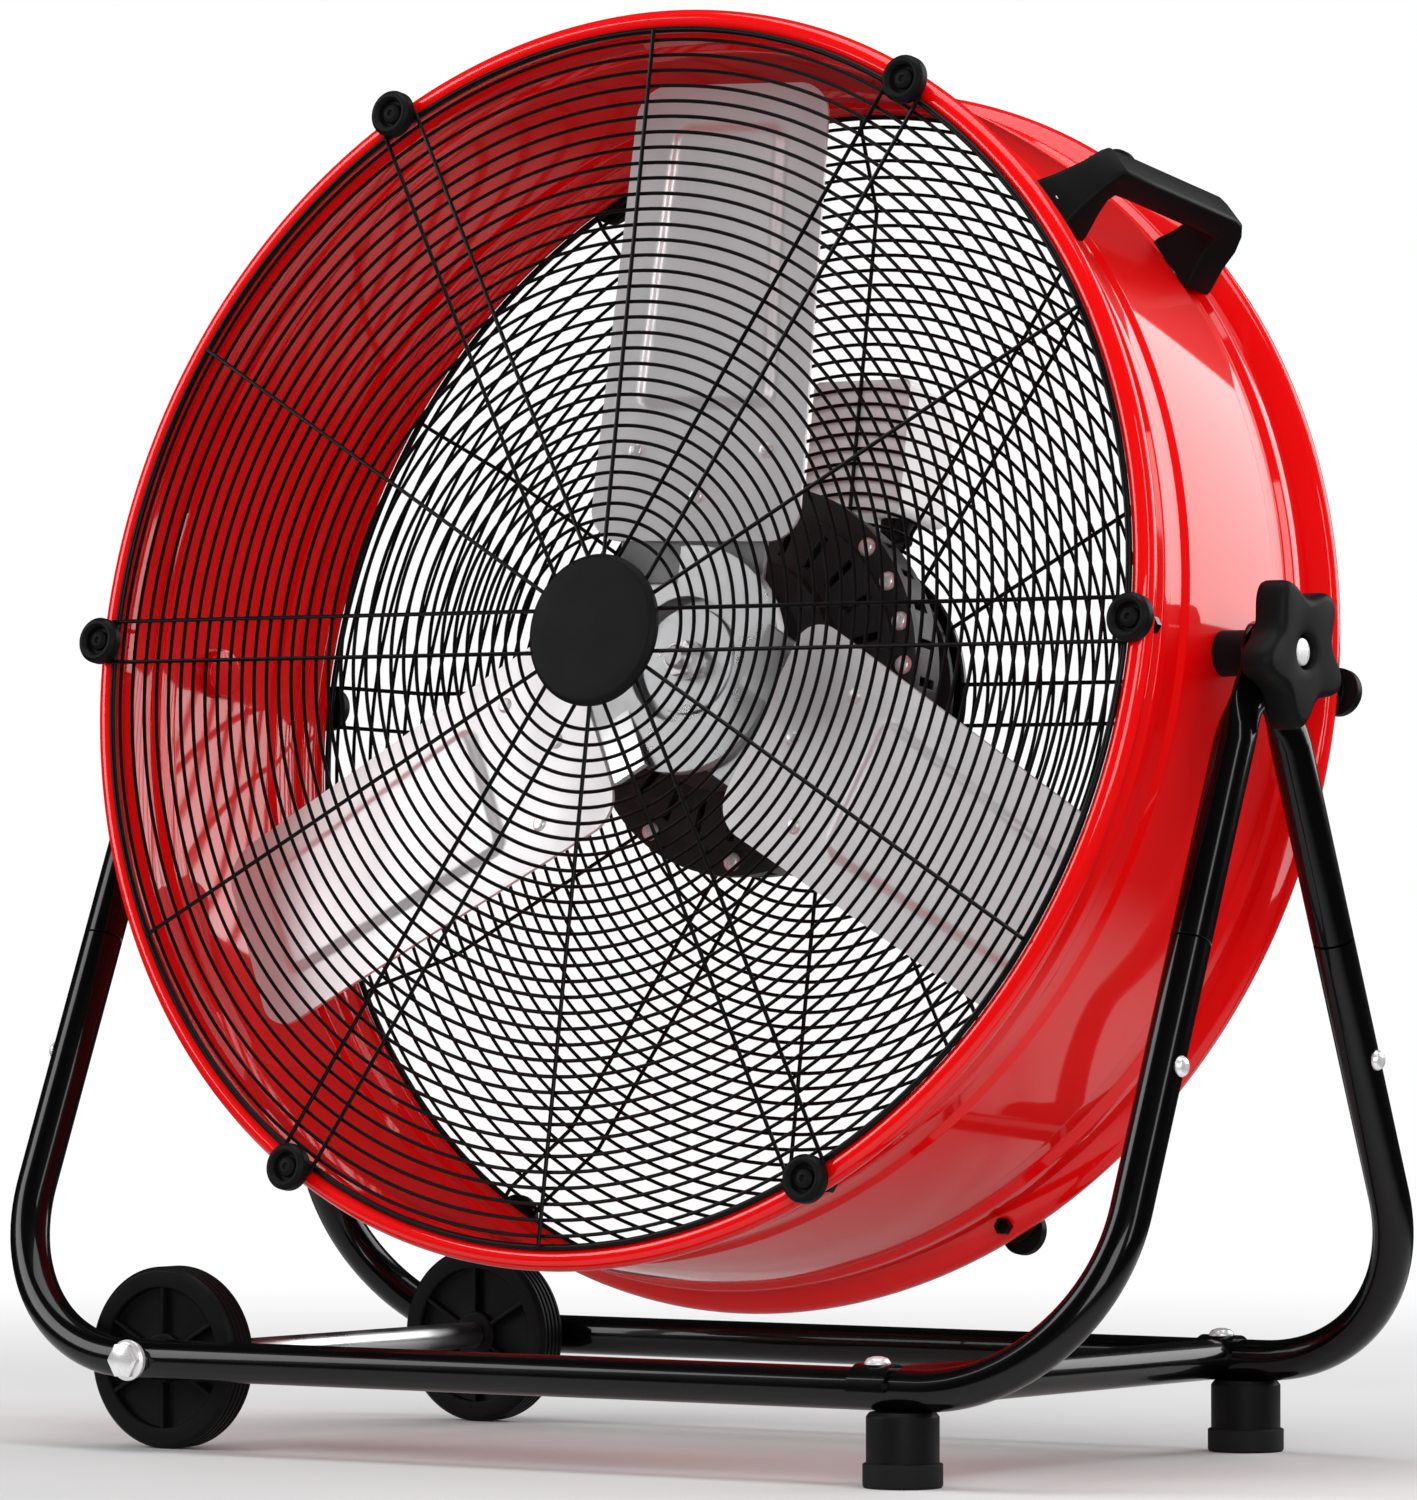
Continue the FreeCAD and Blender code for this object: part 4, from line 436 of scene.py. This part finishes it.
def blade_half_chord(z):
    """Half the blade's width, a little less towards the tip."""
    return 61.1 - (z - BLADE_ROOT) * 5.4 / (BLADE_TIP - BLADE_ROOT)


def panel_rise(x, z):
    """Height of the pressed panel above the sheet, from the distance to its rounded outline."""
    low, high, corner = 133.0, 284.0, 9.0
    half = 40.0 - 8.0 * (z - low) / (high - low)
    dx = abs(x) - (half - corner)
    dz = abs(z - (low + high) / 2) - ((high - low) / 2 - corner)
    outside = math.hypot(max(dx, 0), max(dz, 0)) + min(max(dx, dz), 0) - corner
    return 3.0 * smooth_step(-outside / 4.0)


def spaced(low, high, step):
    count = max(2, round((high - low) / step))
    return [low + (high - low) * k / count for k in range(count + 1)]


def blade_sheet():
    """A thin sheet with rounded corners and a raised panel."""
    root, tip, corner = BLADE_ROOT, BLADE_TIP, BLADE_CORNER
    heights = sorted(set(
        [root + corner * (1 - math.cos(math.radians(a))) for a in range(0, 91, 9)]
        + spaced(root + corner, tip - corner, 2.2)
        + [tip - corner * (1 - math.cos(math.radians(a))) for a in range(0, 91, 9)]
    ))
    front, back = [], []
    for z in heights:
        near = min(z - root, tip - z)
        cut = corner - math.sqrt(max(corner ** 2 - (corner - near) ** 2, 0)) if near < corner else 0.0
        half = blade_half_chord(z) - cut
        across = [half * (2 * k / 60 - 1) for k in range(61)]
        front.append([Vector((x, -1.0 - panel_rise(x, z), z)) for x in across])
        back.append([Vector((x, 1.0 - panel_rise(x, z), z)) for x in reversed(across)])
    rows = [a + b for a, b in zip(front, back)]
    return loft(rows)


def blades():
    """Three pressed blades, and the rivets that hold them to the spider's arms."""
    sheet = blade_sheet()
    head = [(0, 0.4, 0), (4.2, 0.4, 0.2), (4.2, -0.2, 0.5), (3.2, -1.5, 1.6), (0, -1.8, 0)]
    tail = [(0, 4.9, 0), (2.8, 4.9, 0.2), (2.8, 6.0, 0.5), (1.4, 6.4, 0.6), (0, 6.4, 0)]
    rivet = lathe(rounded(head), 32).join(lathe(rounded(tail), 32))
    rivets = Shape()
    for index, degrees in enumerate(BLADE_ANGLES, start=1):
        offset = Matrix.Translation((0, BLADE_OFFSET, 0))
        place = spin(degrees - 90) @ offset @ Matrix.Rotation(BLADE_PITCH, 4, "Z")
        made(f"pressed_blade_{index}", sheet, HEAD @ place, "rotor", "blade_aluminium", sharp=60,
             stands_for=[f"blade_{index}"])
        for along, across in RIVET_SEATS:
            rivets.join(rivet, place @ Matrix.Translation((across, -1.0, along)))
    made("rivet_heads", rivets, HEAD, "rotor", "zinc", stands_for=["blade_rivets"])


# ---------------------------------------------------------------- carry handle

def carry_handle():
    """Moulded grip lofted along one line: front foot, flat bar and rear foot, wider towards the drum.

    Each rounded section is spanned between an outer and an inner point of the (y, h) side view, and has a
    half width and a corner radius.
    """
    sections = (
        ((-76.0, 317.8), (-52.0, 319.6), 17.0, 2.5),
        ((-75.6, 321.0), (-52.0, 322.0), 16.8, 2.5),
        ((-70.5, 334.0), (-52.3, 334.0), 13.0, 3.0),
        ((-64.5, 348.0), (-52.0, 342.0), 10.6, 3.0),
        ((-60.5, 358.0), (-49.5, 345.6), 10.0, 3.0),
        ((-57.0, 361.0), (-45.0, 346.0), 10.0, 3.0),
        ((-30.0, 361.0), (-30.0, 346.0), 10.0, 3.0),
        ((24.0, 361.0), (24.0, 346.0), 10.0, 3.0),
        ((50.0, 361.0), (40.0, 346.0), 10.0, 3.0),
        ((58.0, 359.4), (44.5, 345.5), 10.0, 3.0),
        ((64.5, 354.0), (46.2, 342.5), 10.2, 3.0),
        ((68.8, 345.0), (46.8, 337.0), 11.5, 3.0),
        ((69.6, 334.0), (47.2, 331.0), 13.0, 3.0),
        ((70.0, 322.0), (47.9, 321.5), 16.8, 2.5),
        ((70.0, 319.5), (48.0, 318.7), 17.0, 2.5),
    )
    rows = []
    for outer, inner, half, corner in sections:
        outer, inner = Vector(outer), Vector(inner)
        depth = (outer - inner).length
        down = (inner - outer) / depth
        corners = [(x, v, corner) for x, v in ((-half, 0.0), (half, 0.0), (half, depth), (-half, depth))]
        rows.append([Vector((x, *(outer + down * v))) for x, v in rounded(corners, steps=4)])
    made("grip", loft(rows), HEAD @ spin(HANDLE_ANGLE - 90.0), "head", "black_plastic", sharp=40,
         stands_for=["handle"])


# ---------------------------------------------------------------- knobs

def around(radius_at, count=160):
    """Points around a centre whose radius depends on the angle."""
    turns = [2 * math.pi * k / count for k in range(count)]
    return [(radius_at(a) * math.cos(a), radius_at(a) * math.sin(a)) for a in turns]


def star(inset):
    """Five-lobed outline."""
    return around(lambda a: 32.6 + 5.7 * math.cos(5 * a) + 0.7 * math.cos(10 * a) - inset)


def disc(radius):
    return around(lambda a: radius)


def knob(side, name):
    """Five-lobed clamp knob with rounded edges, a dished face and a well around the bolt's end."""
    start, end = KNOB_START, KNOB_END
    layers = [
        (disc(7.06), start), (disc(15.2), start), (disc(16), start + 0.8), (disc(16), start + 4),
        (star(6.0), start + 4.0), (star(2.5), start + 4.3), (star(0.8), start + 5.4),
        (star(0.0), start + 7.5), (star(0.0), end - 6.0), (star(0.5), end - 3.4), (star(1.8), end - 1.4),
        (star(3.6), end - 0.3), (star(5.6), end), (disc(14.5), end - 0.9), (disc(10.6), end - 0.9),
        (disc(9.2), end - 1.4), (disc(8.8), end - 2.4), (disc(8.8), end - 6.0), (disc(7.06), end - 6.0),
    ]
    c, s = math.cos(KNOB_TURN), math.sin(KNOB_TURN)
    rows = [[Vector((side * x, u * c - v * s, u * s + v * c)) for u, v in outline]
            for outline, x in layers]
    made(name + "_star", loft(rows, loop=True), HEAD, name, "black_plastic", SOFT_BLACK, sharp=50,
         stands_for=[name])


# ---------------------------------------------------------------- stand

def frame_lean(sign):
    """From a frame's own flat drawing to its leaned place above the floor."""
    foot = Matrix.Translation((0, sign * FRAME_HALF_DEPTH, TUBE_HEIGHT))
    return foot @ Matrix.Rotation(sign * LEAN, 4, "X")


def frame_place(sign):
    return STAND @ frame_lean(sign)


def slope_of(height):
    """Length along the leaned frame up to a height above the floor."""
    return (height - TUBE_HEIGHT) / math.cos(LEAN)


def u_frame(sign, name):
    """Bent tube of one frame, with the open tops turned over the legs' shoulders."""
    half, bend, top = LEG_PLANE, BEND_R, slope_of(SHOULDER_HEIGHT)
    left = [Vector((-half, 0, z)) for z in (top, top - 1, (top + bend) / 2)]
    right = [Vector((half, 0, z)) for z in ((top + bend) / 2, top - 1, top)]
    bends = arc((-half + bend, 0, bend), bend, 180, 270, 32)
    bends += arc((half - bend, 0, bend), bend, 270, 360, 32)
    made(name + "_frame_bend", tube(left + bends + right, TUBE_R, 40), frame_place(sign), "stand",
         "black_paint", sharp=50, stands_for=[name + "_frame_tube"])


def leg(sign, side, name):
    """Upper leg: round tube, squeezed flat over a short length into a round-ended plate at the pivot."""
    joint = slope_of(SHOULDER_HEIGHT)
    shift = -2.0 * sign
    pivot = frame_place(sign).inverted() @ Matrix.Translation(PIVOT)
    offset, height = pivot.translation.y, pivot.translation.z
    plate_half, sides, round_steps = 16.0, 48, 9
    # Height up the leg, half widths in X and Y, shares of the sideways shift and of the lean to the pivot
    stages = (
        (joint + 0.6, 9.7, 9.7, 0, 0), (joint + 1.2, TUBE_R, TUBE_R, 0, 0), (300, TUBE_R, TUBE_R, 0, 0),
        (343, TUBE_R, TUBE_R, 0, 0), (350, 9.6, 11.2, 0.15, 0), (357, 7.2, 12.6, 0.45, 0.03),
        (364, 4.4, 13.7, 0.8, 0.1), (370, 2.5, 14.3, 1.0, 0.2), (375, 2.0, 14.6, 1.0, 0.32),
        (384, 2.0, 15.2, 1.0, 0.62), (height, 2.0, plate_half, 1.0, 1.0),
    )
    rows = []
    for v, half_x, half_y, sideways, lean in stages:
        flat = half_x <= 4
        row = []
        for k in range(sides):
            a = 2 * math.pi * k / sides
            c, s = math.cos(a), math.sin(a)
            u = math.copysign(abs(c) ** 0.35, c) if flat else c
            x = side * (LEG_PLANE + shift * sideways + half_x * u)
            row.append(Vector((x, offset * lean + half_y * s, v)))
        rows.append(row)
    plate = rows[-1]
    for step in range(1, round_steps):
        a = math.radians(90 * step / round_steps)
        top = height + plate_half * math.sin(a)
        rows.append([Vector((p.x, offset + (p.y - offset) * math.cos(a), top)) for p in plate])
    made(name + "_formed", loft(rows), frame_place(sign), "stand", "black_paint", sharp=40,
         stands_for=[name])


def domed(radius, height):
    """A domed screw head standing up +Z."""
    profile = [(0, -0.5, 0), (radius, -0.5, 0.1), (radius, 0.5, 0.3), (0.8 * radius, 0.72 * height, 2),
               (0.35 * radius, height, 2), (0, height, 0)]
    return Shape().join(lathe(rounded(profile), 40), Matrix.Rotation(math.pi / 2, 4, "X"))


def stand_screws():
    """Bright domed screws: four through the leg joints and two on the crossbar's saddles."""
    joints, saddles = Shape(), Shape()
    for sign in (-1, 1):
        for side in (1, -1):
            seat = Matrix.Translation((side * (LEG_PLANE + TUBE_R - 0.1), 0, slope_of(LEG_SCREW_HEIGHT)))
            outwards = Matrix.Rotation(side * math.pi / 2, 4, "Y")
            joints.join(domed(5.2, 3.4), frame_lean(sign) @ seat @ outwards)
        seat = Matrix.Translation((SADDLE_X, sign * FRAME_HALF_DEPTH, TUBE_HEIGHT + TUBE_R + 2.0))
        saddles.join(domed(6.5, 3.4), seat)
    made("joint_screw_heads", joints, STAND, "stand", "zinc", stands_for=["leg_screws"])
    made("saddle_screw_heads", saddles, STAND, "stand", "zinc", stands_for=["crossbar_screws"])


def feet():
    """Two posts under the frames, each in a low rubber cup."""
    post = lathe(rounded([(0, 3, 0), (18, 3, 0.2), (18, 34.6, 1.5), (16.2, 36.9, 1.2), (0, 36.9, 0)]), 72)
    cup = lathe(rounded([(0, 0, 0), (18.9, 0, 0.8), (19.7, 1.2, 0.8), (19.7, 11.7, 0.7),
                         (18.0, 12.3, 0.4), (18.0, 3, 0.2), (0, 3, 0)]), 72)
    upright = Matrix.Rotation(math.pi / 2, 4, "X")
    for sign, label in ((-1, "front"), (1, "rear")):
        place = STAND @ Matrix.Translation((FOOT_X, sign * FRAME_HALF_DEPTH, 0)) @ upright
        made(f"{label}_post", post, place, "stand", "black_plastic", stands_for=[f"foot_post_{label}"])
        made(f"{label}_cup", cup, place, "stand", "rubber", stands_for=[f"foot_boot_{label}"])


def axle_x(label):
    """Where a wheel's axle crosses, along the fan's width."""
    return 1000 * JOINTS[f"wheel_{label}_roll"]["pos_m"][0]


def wheel(sign, label):
    """Moulded wheel: grooved tread, recessed faces with a hub and six thin spokes."""
    half, radius, rim, hub, deep, bore = WHEEL_HALF_WIDTH, WHEEL_R, 36.4, 13.0, 4.5, 5.06
    outline = [(bore, -half, 0.4), (hub - 1, -half, 0.8), (hub, -half + 1, 0.8), (hub, deep - half, 0.6),
               (rim, deep - half, 0.6), (rim, -half + 0.8, 0.6), (rim + 0.8, -half, 0.6),
               (radius - 2.2, -half, 1.2), (radius, 2.2 - half, 1.2)]
    for groove in (-5.1, -1.7, 1.7, 5.1):
        outline += [(radius, groove - 0.8, 0.3), (radius - 1.3, groove - 0.5, 0.2),
                    (radius - 1.3, groove + 0.5, 0.2), (radius, groove + 0.8, 0.3)]
    outline += [(radius, half - 2.2, 1.2), (radius - 2.2, half, 1.2), (rim + 0.8, half, 0.6),
                (rim, half - 0.8, 0.6), (rim, half - deep, 0.6), (hub, half - deep, 0.6),
                (hub, half - 1, 0.8), (hub - 1, half, 0.8), (bore, half, 0.4)]
    shape = lathe(rounded(outline, steps=3), 128)
    spoke = rounded([(-1.2, 0, 0.1), (1.2, 0, 0.1), (1.0, 4.1, 0.5), (-1.0, 4.1, 0.5)], steps=2)
    for k in range(6):
        for face in (-1, 1):
            rows = [[Vector((x, face * (half - deep - 0.3 + v), u)) for u, v in spoke]
                    for x in (hub - 0.6, rim + 0.6)]
            shape.join(loft(rows), spin(30 + 60 * k))
    place = STAND @ Matrix.Translation((axle_x(label), sign * WHEEL_OFFSET, radius))
    made(f"{label}_roller", shape, place, f"wheel_{label}", "black_plastic", sharp=40,
         stands_for=[f"wheel_{label}"])


def hexagon(flats, low, high, chamfer):
    """A hexagon prism about Y with its outer corners turned off."""
    corner = flats / math.sqrt(3)
    turns = [math.radians(60 * k) for k in range(6)]
    rows = []
    for y, inset in ((low, 0.0), (high - chamfer, 0.0), (high, chamfer * 1.4)):
        reach = corner - inset
        corners = [(reach * math.cos(a), reach * math.sin(a), 0.8 + inset) for a in turns]
        rows.append([Vector((x, y, z)) for x, z in rounded(corners, steps=3)])
    return loft(rows)


def axle_ends():
    """Flanged hexagon nut and bolt head outside the frames, with the bolt's shank through both wheels."""
    flange = rounded([(0, 0, 0), (10.7, 0, 0.3), (10.6, 1.2, 0.6), (9.0, 2.4, 0.8), (0, 2.4, 0)])
    nut = lathe(flange, 56).join(hexagon(16.6, 1.5, 6.4, 1.0))
    seat = FRAME_HALF_DEPTH + TUBE_R + 2.0
    end = -2 * seat - 8.4
    bolt = Shape().join(nut).join(lathe(rounded([(0, 0, 0), (5, 0, 0), (5, end, 0.8), (0, end, 0)]), 40))
    for y, turn, name, shape, node in ((-seat, HALF_TURN, "axle_head", bolt, "axle_bolt"),
                                       (seat, Matrix.Identity(4), "axle_nut_hex", nut, "axle_nut")):
        place = STAND @ Matrix.Translation((axle_x("front"), y, TUBE_HEIGHT)) @ turn
        made(name, shape, place, "stand", "zinc", stands_for=[node])


def pivot_bolts():
    """Two clamp bolts on the tilt axis: enamelled heads inside the barrel, bright ends in the knobs."""
    head = lathe(rounded([(0, 311.6, 0), (13, 311.6, 1.5), (13, 316.6, 0.2), (0, 316.6, 0)]), 56)
    shank = lathe(rounded([(0, 316.2, 0), (7, 316.2, 0), (7, 364.4, 1.0), (0, 364.4, 0)]), 56)
    for name, shape, slot in (("pivot_heads", head, "red_paint"), ("pivot_shanks", shank, "zinc")):
        pair = Shape()
        for turn in (-math.pi / 2, math.pi / 2):
            pair.join(shape, Matrix.Rotation(turn, 4, "Z"))
        made(name, pair, HEAD, "head", slot, stands_for=["pivot_bolts"])


def stand():
    for sign, name in ((-1, "front"), (1, "rear")):
        u_frame(sign, name)
        for side, hand in ((1, "right"), (-1, "left")):
            leg(sign, side, f"leg_{name}_{hand}")
        wheel(sign, name)
    stand_screws()
    feet()
    axle_ends()


def bright_domes():
    """Bright screw heads on the motor's flange."""
    shape = Shape()
    seat = Matrix.Translation((FLANGE_SCREW_CIRCLE, FLANGE_FACE, 0))
    forwards = Matrix.Rotation(math.pi / 2, 4, "X")
    for degrees in FLANGE_SCREW_ANGLES:
        shape.join(domed(5.0, 3.2), spin(degrees) @ seat @ forwards)
    made("flange_domes", shape, HEAD, "head", "zinc", stands_for=["motor_flange_screws"])


# ---------------------------------------------------------------- shown CAD nodes

def softened(material, radius):
    """A copy of a finish whose edges catch the light as if turned over by a radius."""
    copy = material.copy()
    nodes, links = copy.node_tree.nodes, copy.node_tree.links
    bevel = nodes.new("ShaderNodeBevel")
    bevel.samples = 4
    bevel.inputs["Radius"].default_value = radius
    bump = next(node for node in nodes if node.type == "BUMP")
    links.new(bevel.outputs["Normal"], bump.inputs["Normal"])
    return copy


def dress_nodes():
    """Gives every shown CAD node the finish of its slot."""
    slots = {part["node"]: part["material_slot"] for part in frame["record"]["subparts"]}
    edged = {name: softened(material, 0.0007) for name, material in SLOT_FINISH.items()}
    for name, node in frame["nodes"].items():
        for slot in node.material_slots:
            slot.material = edged[slots[name]]


# ---------------------------------------------------------------- studio

def soft_light(name, location, target, width, height, power):
    """A large rectangular light, aimed at a point of the fan."""
    light = bpy.data.lights.new(name, "AREA")
    light.shape = "RECTANGLE"
    light.size, light.size_y = width, height
    light.energy = power
    lamp = bpy.data.objects.new(name, light)
    lamp.location = location
    lamp.rotation_mode = "QUATERNION"
    lamp.rotation_quaternion = (Vector(target) - Vector(location)).to_track_quat("-Z", "Y")
    bpy.context.collection.objects.link(lamp)


def backdrop():
    """White surround that lights softly but shows only a dim grey in glossy surfaces."""
    world = bpy.data.worlds.new("studio")
    bpy.context.scene.world = world
    world.use_nodes = True
    nodes, links = world.node_tree.nodes, world.node_tree.links
    surround = nodes["Background"]
    surround.inputs["Color"].default_value = (1.0, 1.0, 1.0, 1.0)
    rays = nodes.new("ShaderNodeLightPath")
    glossy = nodes.new("ShaderNodeMapRange")
    glossy.inputs["To Min"].default_value = 0.64
    glossy.inputs["To Max"].default_value = 0.015
    seen = nodes.new("ShaderNodeMath")
    seen.operation = "MAXIMUM"
    links.new(rays.outputs["Is Glossy Ray"], glossy.inputs["Value"])
    links.new(glossy.outputs["Result"], seen.inputs[0])
    links.new(rays.outputs["Is Camera Ray"], seen.inputs[1])
    links.new(seen.outputs["Value"], surround.inputs["Strength"])


def floor():
    """A round white floor in metres."""
    radius, sides = 2.6, 96
    turns = [2 * math.pi * k / sides for k in range(sides)]
    mesh = bpy.data.meshes.new("floor")
    edge = [(radius * math.cos(a), radius * math.sin(a), 0) for a in turns]
    mesh.from_pydata(edge, [], [tuple(range(sides))])
    ground = bpy.data.objects.new("floor", mesh)
    bpy.context.collection.objects.link(ground)
    material, base = shader("floor_white", (0.62, 0.62, 0.62), 0.6, specular=0.2)
    ramped(material, noise(material, 3.0), 0.55, 0.65, base.inputs["Roughness"])
    fade_out(material, base)
    mesh.materials.append(material)


def fade_out(material, base):
    """Lets the floor run out into the white surround, and into shade where glossy surfaces mirror it."""
    nodes, links = material.node_tree.nodes, material.node_tree.links
    place = nodes.new("ShaderNodeTexCoord")
    reach = nodes.new("ShaderNodeVectorMath")
    reach.operation = "LENGTH"
    rays = nodes.new("ShaderNodeLightPath")
    links.new(place.outputs["Object"], reach.inputs[0])
    surface = base.outputs["BSDF"]
    for kind, near, far, glow in (("Is Camera Ray", 0.6, 1.9, 1.0), ("Is Glossy Ray", 0.45, 0.85, 0.03)):
        share = nodes.new("ShaderNodeMapRange")
        share.interpolation_type = "SMOOTHSTEP"
        share.inputs["From Min"].default_value = near
        share.inputs["From Max"].default_value = far
        seen = nodes.new("ShaderNodeMath")
        seen.operation = "MULTIPLY"
        even = nodes.new("ShaderNodeEmission")
        even.inputs["Strength"].default_value = glow
        mix = nodes.new("ShaderNodeMixShader")
        links.new(reach.outputs["Value"], share.inputs["Value"])
        links.new(share.outputs["Result"], seen.inputs[0])
        links.new(rays.outputs[kind], seen.inputs[1])
        links.new(seen.outputs["Value"], mix.inputs["Fac"])
        links.new(surface, mix.inputs[1])
        links.new(even.outputs["Emission"], mix.inputs[2])
        surface = mix.outputs["Shader"]
    links.new(surface, nodes["Material Output"].inputs["Surface"])


def camera():
    """Long lens a little below the fan's middle, seen from the front right."""
    azimuth, elevation, distance = math.radians(34.79), math.radians(-1.04), 4.2614
    level = math.cos(elevation)
    back = Vector((math.sin(azimuth) * level, -math.cos(azimuth) * level, math.sin(elevation)))
    data = bpy.data.cameras.new("view")
    data.sensor_width = 36.0
    data.lens = 197.02
    eye = bpy.data.objects.new("view", data)
    eye.location = Vector((0.0064, PIVOT.y, 0.3636)) + back * distance
    eye.rotation_mode = "QUATERNION"
    eye.rotation_quaternion = (-back).to_track_quat("-Z", "Y")
    bpy.context.collection.objects.link(eye)
    bpy.context.scene.camera = eye


def studio():
    """White surround and floor, the camera and five soft lights."""
    backdrop()
    floor()
    camera()
    soft_light("top", (0.1, -0.2, 3.2), (0, 0, 0.3), 2.6, 1.8, 48)
    soft_light("left", (-2.6, -2.0, 1.6), (0, 0, 0.45), 1.5, 2.0, 46)
    soft_light("right", (3.0, -1.0, 1.6), (0.1, 0, 0.4), 0.45, 2.2, 15)
    soft_light("fill", (2.1, -2.7, 0.9), (-0.2, 0, 0.45), 1.5, 1.5, 34)
    soft_light("behind", (1.7, 3.0, 1.9), (-0.2, 0, 0.4), 2.4, 2.6, 78)
    bpy.context.scene.view_settings.view_transform = "Standard"


drum()
guards()
cap()
clips()
blades()
carry_handle()
knob(1, "knob_right")
knob(-1, "knob_left")
stand()
pivot_bolts()
bright_domes()
dress_nodes()
studio()
